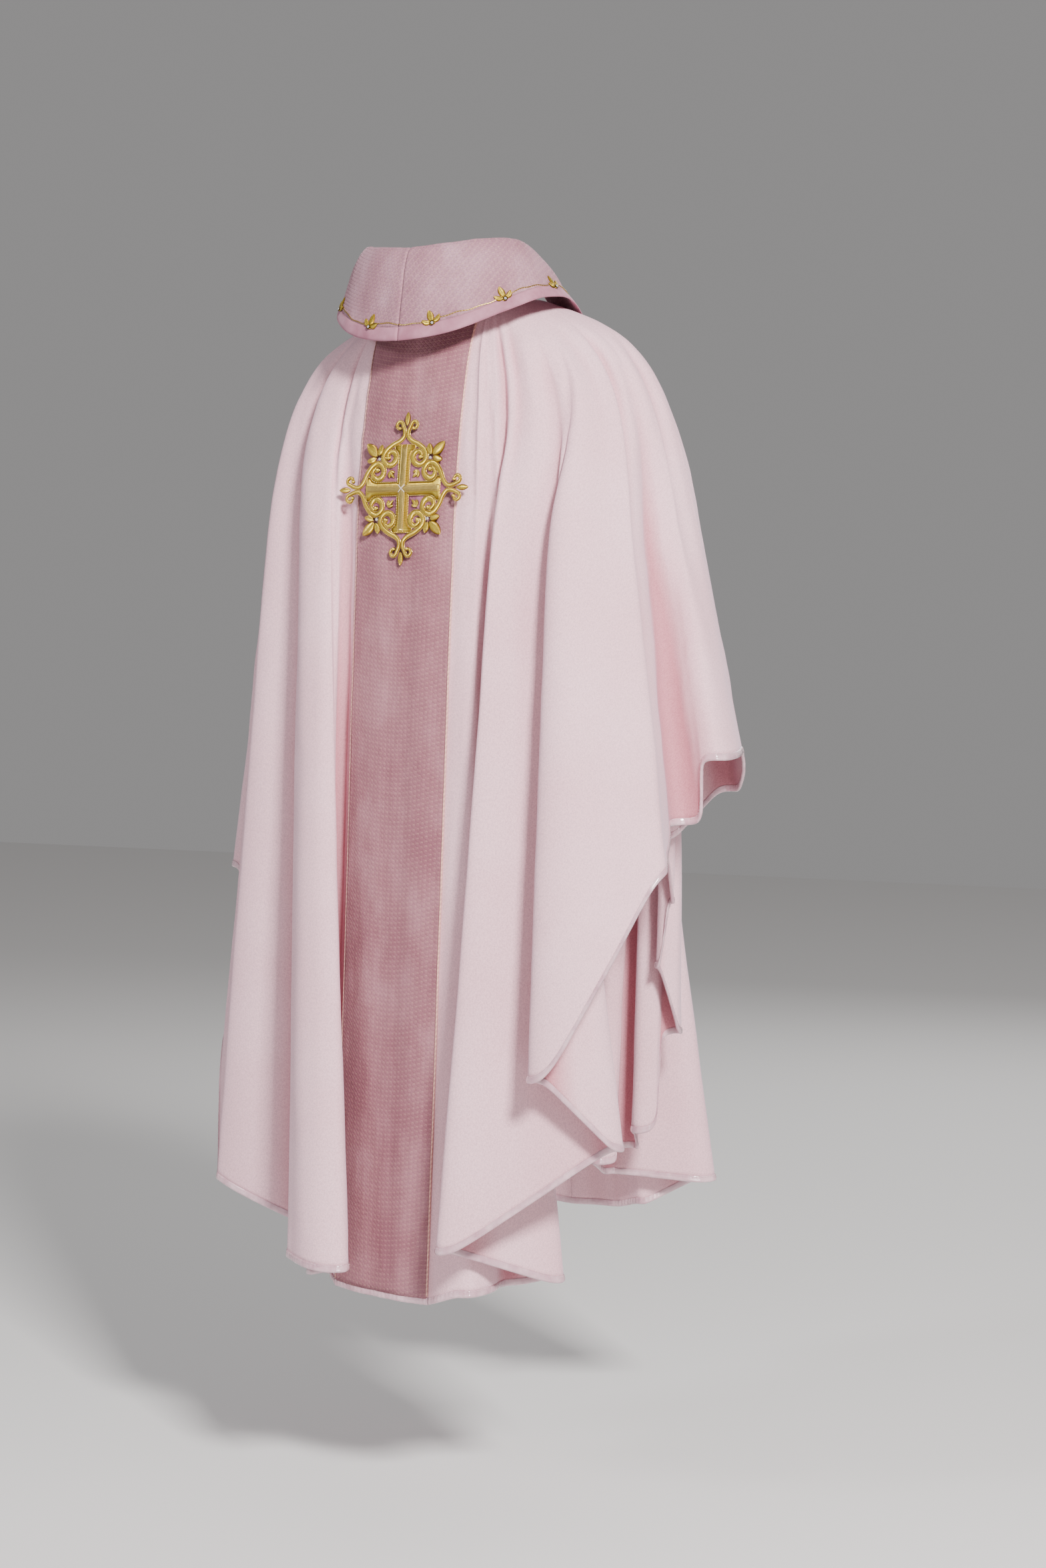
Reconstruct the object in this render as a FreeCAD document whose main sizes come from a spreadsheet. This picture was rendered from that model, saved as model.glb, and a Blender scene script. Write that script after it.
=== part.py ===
import FreeCAD, Part
import os
from math import radians, degrees, sin, cos, asin, atan2, hypot, pi, dist, sqrt

V = FreeCAD.Vector
doc = FreeCAD.newDocument("chasuble")

# ---------------------------------------------------------------- sizes (mm)
SIZES = [
    ("cloth_thick", 1.6, "body crepe"),
    ("layer_gap", 0.3, "air between sewn layers"),
    ("orphrey_half", 70, "half width of the centre strip"),
    ("orphrey_thick", 1.2, "velvet brocade"),
    ("piping_radius", 1.6, "twisted cord beside the strip"),
    ("piping_out", 2.4, "cord centre beyond the strip edge"),
    ("binding_proud", 0.9, "satin binding beyond each face"),
    ("binding_wide", 10, "satin binding, seen width"),
    ("neck_half_wide", 97, "neck opening, half width"),
    ("neck_back", 146, "neck opening, centre to back"),
    ("neck_front", 118, "neck opening, centre to front"),
    ("tape_thick", 1.0, "tape inside the neckline"),
    ("tape_wide", 14, "tape inside the neckline"),
    ("turn_neck", 3, "rounding of the folds at the neck"),
    ("turn_hem", 20, "rounding of the folds at the hem"),
    ("fold_bulge", 0.05, "crown of each fold face over its width"),
    ("collar_thick", 2.4, "interfaced brocade, doubled"),
    ("collar_band", 17, "plain velvet band at the collar edge"),
    ("couched_cord_radius", 0.8, "gold cord on the collar"),
    ("lily_leaf", 17, "leaf of a collar lily"),
    ("lily_relief", 2.0, "padding of a collar lily"),
    ("couched_cord_up", 20.5, "gold cord above the collar edge"),
    ("crystal_radius", 1.9, "cut glass stone"),
    ("crystal_high", 1.8, "cut glass stone"),
    ("emblem_half", 95, "emblem, centre to spear tip"),
    ("emblem_z", -252, "emblem centre"),
    ("front_emblem_z", -302, "matching front emblem centre"),
    ("ground_thick", 1.0, "emblem velvet ground"),
    ("cross_half", 54, "emblem cross, centre to end"),
    ("cross_wide", 16.5, "emblem cross arm"),
    ("cross_flare", 30, "emblem cross arm end"),
    ("cross_relief", 3.4, "padding of the cross"),
    ("scroll_relief", 2.6, "padding of the scrolls"),
    ("leaf_relief", 2.2, "padding of the leaves"),
]
sheet = doc.addObject("Spreadsheet::Sheet", "sizes")
sheet.Label = "sizes"
for row, (alias, value, note) in enumerate(SIZES, start=1):
    sheet.set("A%d" % row, alias.replace("_", " "))
    sheet.set("B%d" % row, str(value))
    sheet.setAlias("B%d" % row, alias)
    sheet.set("C%d" % row, note)
doc.recompute()


def size(alias):
    return float(sheet.get(alias))


CLOTH, GAP = size("cloth_thick"), size("layer_gap")
STRIP = size("orphrey_half")

# ------------------------------------------------- how the cloth hangs
# Every rib runs from the neckline to the hem: its bearing at the neck (0 is the
# back, 90 the wearer's right), where it passes at chest height, where it ends.
RIBS = [
    ("back_centre", 0, (0, 177, -260), (0, 238, -1250)),
    ("back_orphrey_r", 9, (-70, 173, -260), (-68, 238, -1252)),
    ("c_ridge_r", 15, (-98, 167, -262), (-132, 240, -1236)),
    ("c_valley_r", 19, (-112, 158, -264), (-138, 150, -1236)),
    ("c_turn_r", 23, (-122, 160, -265), (-206, 136, -1226)),
    ("a_left", 29, (-132, 186, -268), (-122, 308, -1172)),
    ("a_right", 43, (-200, 150, -270), (-334, 198, -1044)),
    ("a2_left", 51, (-210, 180, -272), (-246, 302, -958)),
    ("a2_right", 66, (-284, 110, -272), (-376, 190, -714)),
    ("arm_in_r", 74, (-266, 52, -270), (-322, 62, -664)),
    ("sleeve_b_r", 83, (-302, 28, -270), (-384, 64, -584)),
    ("wrist_r", 93, (-302, -16, -272), (-364, -34, -578)),
    ("sleeve_f_r", 103, (-284, -58, -272), (-318, -96, -630)),
    ("f1_in_r", 110, (-256, -58, -272), (-248, -42, -690)),
    ("f1_turn_r", 116, (-250, -86, -272), (-240, -78, -775)),
    ("f2_in_r", 122, (-228, -92, -272), (-212, -84, -860)),
    ("f2_turn_r", 129, (-224, -126, -272), (-222, -146, -950)),
    ("f3_in_r", 135, (-190, -104, -272), (-168, -104, -1080)),
    ("f3_right_r", 141, (-182, -144, -272), (-142, -164, -1108)),
    ("f3_left_r", 147, (-156, -120, -272), (-100, -114, -1128)),
    ("f4_in_r", 153, (-136, -132, -272), (-92, -172, -1150)),
    ("f4_turn_r", 160, (-124, -166, -270), (-214, -254, -1160)),
    ("f5_in_r", 166, (-98, -142, -268), (-114, -222, -1196)),
    ("front_orphrey_r", 171, (-70, -150, -266), (-70, -238, -1206)),
    ("front_centre", 180, (0, -154, -264), (0, -238, -1208)),
    ("front_orphrey_l", 189, (70, -150, -266), (70, -238, -1206)),
    ("f5_in_l", 194, (98, -142, -268), (116, -222, -1196)),
    ("f4_turn_l", 200, (122, -160, -270), (220, -260, -1170)),
    ("f4_in_l", 207, (136, -134, -272), (108, -186, -1150)),
    ("f3_left_l", 213, (158, -126, -272), (152, -116, -1122)),
    ("f3_right_l", 219, (184, -138, -272), (214, -156, -1084)),
    ("f3_in_l", 225, (194, -112, -272), (184, -100, -1020)),
    ("f2_turn_l", 231, (222, -120, -272), (256, -142, -970)),
    ("f2_in_l", 238, (230, -88, -272), (212, -82, -920)),
    ("f1_turn_l", 244, (250, -92, -272), (276, -106, -872)),
    ("f1_in_l", 250, (264, -60, -272), (282, -54, -812)),
    ("sleeve_f_l", 257, (290, -52, -272), (344, -88, -764)),
    ("wrist_l", 267, (302, 6, -272), (372, -6, -716)),
    ("sleeve_b_l", 275, (294, 46, -270), (354, 58, -742)),
    ("arm_in_l", 282, (262, 74, -270), (286, 72, -820)),
    ("f_edge_l", 290, (250, 114, -268), (304, 146, -960)),
    ("e_left", 300, (230, 138, -266), (290, 180, -1138)),
    ("e_right", 312, (174, 146, -264), (150, 190, -1180)),
    ("d_left", 321, (160, 172, -262), (112, 276, -1206)),
    ("d_right", 336, (104, 188, -260), (16, 290, -1212)),
    ("d_under", 343, (94, 164, -260), (124, 208, -1236)),
    ("back_orphrey_l", 351, (70, 173, -260), (70, 226, -1246)),
]
NAMES = [r[0] for r in RIBS]
PER = 6                      # spline poles for each rib
AROUND = PER * len(RIBS)


def at(name):
    """place of a rib in the direction round the wearer"""
    return PER * NAMES.index(name) + 1.0


def lerp(a, b, t):
    return tuple(p + (q - p) * t for p, q in zip(a, b))


def oval(angle, half_w, y_back, y_front, z_side, z_back, z_front, vee=2.0):
    """point of a sloping ring; vee under 2 narrows its front to a V"""
    a = radians(angle)
    c = cos(a)
    if c > 0:
        y = y_back * c
    else:
        y = -y_front * (1 - abs(sin(a)) ** vee) ** (1 / vee)
    zc = z_back if c > 0 else z_front
    return (-half_w * sin(a), y, z_side + (zc - z_side) * abs(c) ** 1.4)


def ring(bearing, half_w, *rest):
    """the same with bearings spread so the straight centre strips keep their width"""
    e = degrees(asin(min(0.999, STRIP / half_w)))
    quarter, q = divmod(bearing, 90)
    if quarter % 2:
        q = 90 - q
    q = q * e / 9 if q <= 9 else e + (q - 9) * (90 - e) / 81
    return oval({0: q, 1: 180 - q, 2: 180 + q, 3: 360 - q}[int(quarter)], half_w, *rest)


def neckline(angle):
    return oval(angle, size("neck_half_wide"), size("neck_back"), size("neck_front"),
                -10, -12, -112, 1.5)


def levels():
    """the rings of poles from neckline to hem, each with its fold rounding"""
    nw, nb, nf = size("neck_half_wide"), size("neck_back"), size("neck_front")
    neck = [ring(r[1], nw, nb, nf, -10, -12, -112, 1.5) for r in RIBS]
    top = [ring(r[1], 152, 149, 128, -28, -58, -138, 1.7) for r in RIBS]
    shoulder = [ring(r[1], 230, 157, 139, -56, -126, -176) for r in RIBS]
    mid = [r[2] for r in RIBS]
    hem = [r[3] for r in RIBS]
    cap = []
    for r, s in zip(RIBS, shoulder):
        base = ring(r[1], 284, 170, 146, -140, -196, -216)
        cap.append(lerp(base, lerp(s, r[2], 0.62), 0.5))
    low = [lerp(m, h, 0.30) for m, h in zip(mid, hem)]
    knee = [lerp(m, h, 0.62) for m, h in zip(mid, hem)]
    edge = [lerp(h, m, 90 / dist(m, h)) for m, h in zip(mid, hem)]
    r0, r1 = size("turn_neck"), size("turn_hem")
    shares = (0, 0.06, 0.18, 0.35, 0.53, 0.7, 0.82, 0.94, 1)
    rows = (neck, top, shoulder, cap, mid, low, knee, edge, hem)
    return [(row, r0 + (r1 - r0) * s) for row, s in zip(rows, shares)]


def belt(pts, radius, bulge):
    """poles along a band laid tightly round a pin at every fold turn"""
    n = len(pts)
    flat = [(p[0], p[1]) for p in pts]

    def away(a, b):
        return (b[0] - a[0], b[1] - a[1])

    pins = []
    for i in range(n):
        a, b = away(flat[i], flat[i - 1]), away(flat[i], flat[(i + 1) % n])
        la, lb = hypot(*a), hypot(*b)
        e1, e2 = (a[0] / la, a[1] / la), (b[0] / lb, b[1] / lb)
        hand = 1 if e1[1] * e2[0] - e1[0] * e2[1] >= 0 else -1
        r = min(radius, 0.3 * la, 0.3 * lb)
        m = (e1[0] + e2[0], e1[1] + e2[1])
        k = hypot(*m)
        if k < 1e-6:
            m, k = (-e2[1] * hand, e2[0] * hand), 1
        pins.append((flat[i][0] + m[0] / k * r, flat[i][1] + m[1] / k * r, r, hand))
    runs = []
    for i in range(n):
        a, b = pins[i], pins[(i + 1) % n]
        d = away(a, b)
        lean = (b[3] * b[2] - a[3] * a[2]) / hypot(*d)
        t = atan2(d[1], d[0]) - asin(max(-0.99, min(0.99, lean)))
        nx, ny = -sin(t), cos(t)
        runs.append(((a[0] - a[3] * a[2] * nx, a[1] - a[3] * a[2] * ny),
                     (b[0] - b[3] * b[2] * nx, b[1] - b[3] * b[2] * ny)))
    lengths = [dist(a, b) for a, b in runs]

    def spare(i, arc):
        """straight length added to each end of a short arc, so that its poles stay apart"""
        return max(0, 0.18 * min(lengths[i - 1], lengths[i]) - arc / 2)

    arcs = []
    for i in range(n):
        px, py, r, hand = pins[i]
        pin, pout = runs[i - 1][1], runs[i][0]
        a0 = atan2(pin[1] - py, pin[0] - px)
        sweep = ((atan2(pout[1] - py, pout[0] - px) - a0) * hand) % (2 * pi)
        if sweep > 1.75 * pi:
            sweep -= 2 * pi
        arcs.append((a0, sweep * hand, spare(i, r * abs(sweep))))
    out = []
    for i in range(n):
        px, py, r, hand = pins[i]
        a0, sweep, more = arcs[i]
        j = (i + 1) % n
        z0, z, z1 = pts[i - 1][2], pts[i][2], pts[j][2]
        before, after = more / lengths[i - 1], more / lengths[i]
        top = r * (1 + 0.12 * abs(sweep) / pi)
        out.append(lerp(runs[i - 1][1], runs[i - 1][0], before) + (z + (z0 - z) * before,))
        out.append((px + top * cos(a0 + sweep / 2), py + top * sin(a0 + sweep / 2), z))
        out.append(lerp(runs[i][0], runs[i][1], after) + (z + (z1 - z) * after,))
        q0, q1 = runs[i]
        d = away(q0, q1)
        length = lengths[i]
        nx, ny = d[1] / length, -d[0] / length
        turning = (flat[j][0] - flat[i][0]) * -flat[i][1] + (flat[j][1] - flat[i][1]) * flat[i][0]
        crown = bulge * min(length, 140) if turning > 0 else 0
        until = 1 - arcs[j][2] / length
        for step in (0.25, 0.5, 0.75):
            t = after + (until - after) * step
            b = crown * sin(pi * t)
            out.append((q0[0] + d[0] * t + nx * b, q0[1] + d[1] * t + ny * b, z + (z1 - z) * t))
    return out


# ------------------------------------------------- surfaces and layers
class Skin:
    """a cloth surface closed round the wearer, and layers parallel to it"""

    def __init__(self, rows):
        self.rows = [[V(*p) for p in row] for row in rows]
        self.n, self.m = len(rows[0]), len(rows)
        self.layers = {}
        base = self.surface(0)
        knots = [0, 0, 0] + [k / (self.m - 3.0) for k in range(self.m - 2)] + [1, 1, 1]
        self.normals = []
        for j in range(self.m):
            v = min(0.9999, max(0.0001, sum(knots[j + 1:j + 4]) / 3.0))
            self.normals.append([self.unit(base, float(i), v) for i in range(self.n)])
        self.layers = {}

    def unit(self, surf, u, v):
        a, b = surf.tangent(u % self.n, v)
        w = b.cross(a)
        w.normalize()
        return w

    def surface(self, off, start=0):
        key = (round(off, 4), start)
        if key not in self.layers:
            poles = []
            for i in range(self.n):
                k = (i + start - 1) % self.n
                poles.append([self.rows[j][k] + (self.normals[j][k] * off if off else V())
                              for j in range(self.m)])
            surf = Part.BSplineSurface()
            surf.buildFromPolesMultsKnots(
                poles, [1] * (self.n + 1), [4] + [1] * (self.m - 4) + [4],
                [float(k) for k in range(self.n + 1)],
                [k / (self.m - 3.0) for k in range(self.m - 2)], True, False, 3, 3)
            self.layers[key] = surf
        return self.layers[key]

    def point(self, u, v, off=0):
        p = self.surface(0).value(u % self.n, v)
        return p + self.unit(self.surface(0), u, v) * off if off else p

    def level(self, u, drop):
        """height of the way down that lies the given length below the top edge"""
        lo, hi = 0.0, 1.0
        for _ in range(40):
            v = (lo + hi) / 2
            steps = 12
            run = sum((self.point(u, v * (k + 1) / steps) - self.point(u, v * k / steps)).Length
                      for k in range(steps))
            lo, hi = (v, hi) if run < drop else (lo, v)
        return v

    def layer(self, u0, u1, v0, v1, low, high):
        """closed solid between two parallel layers, over one patch"""
        start = int(u0 // 1)
        a, b = u0 - start, u1 - start
        top, bottom = self.surface(high, start % self.n).copy(), self.surface(low, start % self.n).copy()
        top.segment(a, b, v0, v1)
        bottom.segment(a, b, v0, v1)
        faces = [top.toShape(), bottom.toShape()]
        for cut in (a, b):
            faces.append(wall(top.uIso(cut), bottom.uIso(cut)))
        for cut in (v0, v1):
            faces.append(wall(top.vIso(cut), bottom.vIso(cut)))
        return solid_from(faces)


def wall(one, two):
    """straight strip between two curves that share their knots"""
    surf = Part.BSplineSurface()
    surf.buildFromPolesMultsKnots(
        [[p, q] for p, q in zip(one.getPoles(), two.getPoles())], one.getMultiplicities(), [2, 2],
        one.getKnots(), [0.0, 1.0], False, False, one.Degree, 1)
    return surf.toShape()


def solid_from(faces):
    shell = Part.makeShell(faces)
    shell.sewShape()
    if shell.ShapeType == "Compound":
        shell = shell.Shells[0]
    body = Part.makeSolid(shell)
    if body.Volume < 0:
        body.reverse()
    return body


def curve_through(points):
    c = Part.BSplineCurve()
    c.interpolate(points)
    return c


def tube(points, radius):
    c = curve_through(points)
    u = c.FirstParameter
    circle = Part.Circle(c.value(u), c.tangent(u)[0], radius)
    return Part.Wire([c.toShape()]).makePipeShell([Part.Wire([circle.toShape()])], True, True)


def smooth(pts, steps=6):
    """points of a smooth curve through hand-placed ones"""
    c = curve_through([V(x, y, 0) for x, y in pts])
    a, b = c.FirstParameter, c.LastParameter
    n = steps * (len(pts) - 1)
    return c, [a + (b - a) * k / n for k in range(n + 1)]


def ribbon_face(pts, widths):
    """flat stroke of changing width along a smooth curve"""
    c, ts = smooth(pts, 3)
    left, right = [], []
    for k, t in enumerate(ts):
        s = k / (len(ts) - 1.0) * (len(widths) - 1)
        i = min(int(s), len(widths) - 2)
        w = (widths[i] + (widths[i + 1] - widths[i]) * (s - i)) / 2
        p, d = c.value(t), c.tangent(t)[0]
        left.append((p.x - d.y * w, p.y + d.x * w))
        right.append((p.x + d.y * w, p.y - d.x * w))
    return polygon_face(left + right[::-1])


def polygon_face(pts):
    return Part.Face(Part.makePolygon([V(x, y, 0) for x, y in pts + pts[:1]]))


def leaf_face(root, tip, width, bow=0.0):
    """pointed leaf outline between two points"""
    a, b = V(root[0], root[1], 0), V(tip[0], tip[1], 0)
    d = b - a
    side = V(-d.y, d.x, 0)
    side.normalize()
    mid = a + d * 0.45 + side * bow
    e1 = Part.Arc(a, mid + side * (width / 2.0), b).toShape()
    e2 = Part.Arc(b, mid - side * (width / 2.0), a).toShape()
    return Part.Face(Part.Wire([e1, e2]))


# ------------------------------------------------- document objects
made = []


def keep(node, shape, **bound):
    obj = doc.addObject("Part::Feature", node)
    obj.Label = node
    obj.Shape = shape
    for prop, alias in bound.items():
        obj.addProperty("App::PropertyLength", prop, "sizes")
        obj.setExpression(prop, "sizes." + alias)
    made.append(obj)
    return obj

# ------------------------------------------------- the body of the garment
cloth = Skin([belt(row, radius, size("fold_bulge")) for row, radius in levels()])
BIND = 1 - size("binding_wide") / (3 * 90.0 * (cloth.m - 3))
CB, CF = at("back_centre"), at("front_centre")
BL, BR = at("back_orphrey_l") - AROUND, at("back_orphrey_r")
FR, FL = at("front_orphrey_r"), at("front_orphrey_l")
SHOULDER_R, SHOULDER_L = at("wrist_r"), at("wrist_l")

for node, u0, u1 in (("back_right_panel", CB, SHOULDER_R), ("front_right_panel", SHOULDER_R, CF),
                     ("front_left_panel", CF, SHOULDER_L), ("back_left_panel", SHOULDER_L, CB + AROUND)):
    keep(node, cloth.layer(u0, u1, 0, BIND, -CLOTH, 0), Thickness="cloth_thick")

low = GAP
high = low + size("orphrey_thick")
keep("back_orphrey", cloth.layer(BL, BR, 0, BIND, low, high), Thickness="orphrey_thick")
keep("front_orphrey", cloth.layer(FR, FL, 0, BIND, low, high), Thickness="orphrey_thick")

proud = size("binding_proud")
JOIN = BR + 0.4
keep("hem_binding", cloth.layer(JOIN, JOIN + AROUND - 0.04, BIND, 1, -CLOTH - proud, proud),
     Width="binding_wide", Proud="binding_proud")


def piping(u, side):
    """cord lying just outside the edge of a centre strip"""
    r, out = size("piping_radius"), size("piping_out")
    pts = []
    for k in range(31):
        v = 0.012 + (BIND - 0.002 - 0.012) * k / 30.0
        p = cloth.point(u, v)
        q = cloth.point(u + side * 0.4, v)
        across = q - p
        across.normalize()
        nrm = cloth.unit(cloth.surface(0), u + side * 0.2, v)
        pts.append(p + across * out + nrm * (r + GAP + 0.35))
    return tube(pts, r)


for node, u, side in (("back_piping_left", BL, -1), ("back_piping_right", BR, 1),
                      ("front_piping_right", FR, -1), ("front_piping_left", FL, 1)):
    keep(node, piping(u, side), Radius="piping_radius")

tape = size("tape_thick")


def tape_row(down):
    """ring of poles on the slope of the neckline, the given length below its edge"""
    row = []
    for k in range(48):
        a = neckline(7.5 * k)
        b = oval(7.5 * k, 152, 149, 128, -28, -58, -138, 1.7)
        row.append(lerp(a, b, down / dist(a, b)))
    return row


under = CLOTH + 1.2
lining = Skin([tape_row(0.3 + size("tape_wide") * k / 3.0) for k in range(4)])
keep("neck_tape", lining.layer(0.02, 47.98, 0, 1, -under - tape, -under), Width="tape_wide",
     Thickness="tape_thick")

# ------------------------------------------------- the collar
# Stations every 30 degrees from centre back by the wearer's right to centre front.
FOLD = [(0, 163, 43), (-52, 152, 47), (-92, 118, 53), (-107, 70, 50), (-106, 8, 14),
        (-74, -66, -44), (0, -128, -98)]
EDGE = [(0, 194, -71), (-70, 180, -62), (-125, 140, -36), (-150, 80, -15), (-144, 0, -20),
        (-116, -98, -96), (0, -167, -176)]
STEPS = 8                    # poles between two stations


SEAM = [0, 22, 42, 62, 90, 128, 180]     # where the neckline meets each station


def mirrored(stations):
    return stations + [(-x, y, z) for x, y, z in reversed(stations[1:-1])]


def around(stations, k):
    """smooth closed loop through the stations"""
    n = len(stations)
    i, t = int(k // 1) % n, k % 1
    p = [stations[(i + d) % n] for d in (-1, 0, 1, 2)]
    w = (-t ** 3 + 2 * t * t - t, 3 * t ** 3 - 5 * t * t + 2, -3 * t ** 3 + 4 * t * t + t, t ** 3 - t * t)
    return tuple(sum(w[j] * p[j][c] for j in range(4)) / 2 for c in range(3))


def outward(p, reach, rise):
    """move a point away from the axis of the neck, and up"""
    r = hypot(p[0], p[1] - 25)
    return (p[0] + p[0] / r * reach, p[1] + (p[1] - 25) / r * reach, p[2] + rise)


def collar_rows():
    fold, edge = mirrored(FOLD), mirrored(EDGE)
    seam = mirrored([neckline(a) for a in SEAM])
    rows = [[] for _ in range(7)]
    for k in range(STEPS * len(fold)):
        s = k / float(STEPS)
        b, f, e = around(seam, s), around(fold, s), around(edge, s)
        base = outward(b, 0, CLOTH + 2.6)
        near = lerp(e, f, 26 / dist(e, f))
        rows[0].append(base)
        rows[1].append(lerp(base, outward(f, -5, 0), 0.4))
        rows[2].append(outward(f, -8, -2))
        rows[3].append(outward(f, 3, 9))
        rows[4].append(outward(lerp(f, e, 0.34), 9, 0))
        rows[5].append(outward(near, 1, 0))
        rows[6].append(e)
    return rows


collar = Skin(collar_rows())
HALF = STEPS * 6
FOLD_AT = 0.5


def up_from_edge(u, width):
    lo, hi = 0.6, 1.0
    for _ in range(30):
        v = (lo + hi) / 2
        lo, hi = (v, hi) if (collar.point(u, v) - collar.point(u, 1)).Length > width else (lo, v)
    return v


band = up_from_edge(0, size("collar_band"))
half = size("collar_thick") / 2
slit = 0.04
for side, u0, u1 in (("right", slit, HALF - slit), ("left", HALF + slit, 2 * HALF - slit)):
    keep("collar_stand_" + side, collar.layer(u0, u1, 0, FOLD_AT, -half, half), Thickness="collar_thick")
    keep("collar_fall_" + side, collar.layer(u0, u1, FOLD_AT, band, -half, half), Thickness="collar_thick")
    keep("collar_band_" + side, collar.layer(u0, u1, band, 1, -half, half), Width="collar_band")

cord_v = up_from_edge(0, size("couched_cord_up"))
cord_r = size("couched_cord_radius")
LILIES = [0.67, 2.0, 3.33, 4.67, 6.0, 7.33, 8.67, 10.0, 11.33]


def cord_point(k):
    sway = 0.006 * sin(2 * pi * k / 1.333)
    return collar.point(k * STEPS, cord_v + sway, half + cord_r + GAP)


for side, k0 in (("right", 0), ("left", 6)):
    pts = [cord_point(k0 + 0.01 + 5.98 * k / 48.0) for k in range(49)]
    keep("collar_cord_" + side, tube(pts, cord_r), Radius="couched_cord_radius")


def frame_on(skin, u, v, lift, spin=0.0):
    """placement standing on a skin: y up the cloth, z away from it"""
    origin = skin.point(u, v, lift)
    z = skin.unit(skin.surface(0), u, v)
    y = skin.point(u, v - 0.01) - skin.point(u, v + 0.01)
    y = y - z * y.dot(z)
    y.normalize()
    x = y.cross(z)
    m = FreeCAD.Matrix(x.x, y.x, z.x, origin.x, x.y, y.y, z.y, origin.y, x.z, y.z, z.z, origin.z,
                       0, 0, 0, 1)
    return FreeCAD.Placement(m) * FreeCAD.Placement(V(), FreeCAD.Rotation(V(0, 0, 1), spin))


def placed(shape, placement):
    s = shape.copy()
    s.Placement = placement
    return s


def trefoil(leaf, relief):
    """three plump leaves opening from one root, in the local plane"""
    faces = [leaf_face((0, 1.5), (0, 1.5 + leaf), leaf * 0.5),
             leaf_face((-0.6, 1.2), (-leaf * 0.72, leaf * 0.44), leaf * 0.38, 1.2),
             leaf_face((0.6, 1.2), (leaf * 0.72, leaf * 0.44), leaf * 0.38, -1.2)]
    root = Part.makeCylinder(1.5, relief, V(0, 1.5, 0))
    body = root.multiFuse([f.extrude(V(0, 0, relief)) for f in faces])
    return body


def crystal():
    """a cut stone: a short drum with a sloping rim"""
    r, h = size("crystal_radius"), size("crystal_high")
    return Part.makeCylinder(r, h * 0.5).fuse(Part.makeCone(r, r * 0.55, h * 0.5, V(0, 0, h * 0.5)))


lily = trefoil(size("lily_leaf"), size("lily_relief"))
stone = crystal()
lilies, stones = [], []
for k in LILIES:
    u = k * STEPS
    lean = 18 if k < 6 else -18
    if k == 6.0:
        lean = 0
    lift = half + 2 * cord_r + 2 * GAP + 0.5
    lilies.append(placed(lily, frame_on(collar, u, cord_v - 0.012, lift, lean)))
    stones.append(placed(stone, frame_on(collar, u, cord_v + 0.006, lift)))
keep("collar_lilies", Part.makeCompound(lilies), Leaf="lily_leaf", Relief="lily_relief")
keep("collar_crystals", Part.makeCompound(stones), Radius="crystal_radius")

# ------------------------------------------------- the embroidered emblems
# One scroll of the upper lobe: x across, y up from the emblem centre; the other
# seven are this one turned and mirrored. It starts in the outer curl by the spear.
SCROLL = [(10.2, 74.4), (13.6, 75.5), (15.0, 78.6), (13.6, 81.8), (10.6, 83.0), (7.4, 81.6),
          (5.7, 78.0), (3.7, 73.6), (2.7, 69.0), (3.8, 63.6), (9.6, 58.6), (19.4, 54.0),
          (28.0, 47.4), (31.6, 40.2), (29.4, 33.6), (23.4, 29.6), (16.4, 31.2), (12.4, 37.2),
          (14.2, 43.4), (20.0, 46.0), (24.8, 42.6), (23.6, 38.4)]
SCROLL_WIDE = [1.8, 2.6, 2.8, 2.8, 3.0, 3.2, 3.4, 3.8, 4.2, 4.6, 4.4, 4.8, 5.4, 4.6, 3.0, 4.4]


class Bed:
    """where an emblem lies: flat across, following the cloth up and down"""

    def __init__(self, rib, side, z0):
        self.side, self.z0 = side, z0
        u = at(rib)
        self.rise = GAP * 2 + size("orphrey_thick") + size("piping_out") * 0.9
        self.line = []
        for k in range(57):
            p = cloth.point(u, 0.05 + 0.7 * k / 56.0)
            self.line.append((p.z, p.y))

    def depth(self, z):
        """y of the bed at a height"""
        for (z1, y1), (z2, y2) in zip(self.line, self.line[1:]):
            if z2 <= z <= z1:
                return y1 + (y2 - y1) * (z1 - z) / (z1 - z2) + self.side * self.rise
        raise ValueError("emblem runs off the strip")

    def frame(self, x, z, lift):
        """placement at an emblem point: x across, y up, z out of the cloth"""
        h = self.z0 + z
        slope = (self.depth(h + 4) - self.depth(h - 4)) / 8.0
        ex = V(-self.side, 0, 0)
        ey = V(0, slope, 1)
        ey.normalize()
        ez = ex.cross(ey)
        o = V(-self.side * x, self.depth(h), h) + ez * lift
        m = FreeCAD.Matrix(ex.x, ey.x, ez.x, o.x, ex.y, ey.y, ez.y, o.y, ex.z, ey.z, ez.z, o.z,
                           0, 0, 0, 1)
        return FreeCAD.Placement(m)

    def pad(self, face, centre, relief, lift):
        """raise a flat outline, drawn about the emblem centre, off the bed"""
        f = face.copy()
        f.translate(V(-centre[0], -centre[1], 0))
        return placed(f.extrude(V(0, 0, relief)), self.frame(centre[0], centre[1], lift))


def turned(pts, k):
    """one of the eight places of a shape drawn in the upper right lobe"""
    out = []
    for x, y in pts:
        if k % 2:
            x = -x
        for _ in range(k // 2):
            x, y = y, -x
        out.append((x, y))
    return out


def middle(pts):
    xs, ys = [p[0] for p in pts], [p[1] for p in pts]
    return ((min(xs) + max(xs)) / 2.0, (min(ys) + max(ys)) / 2.0)


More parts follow.
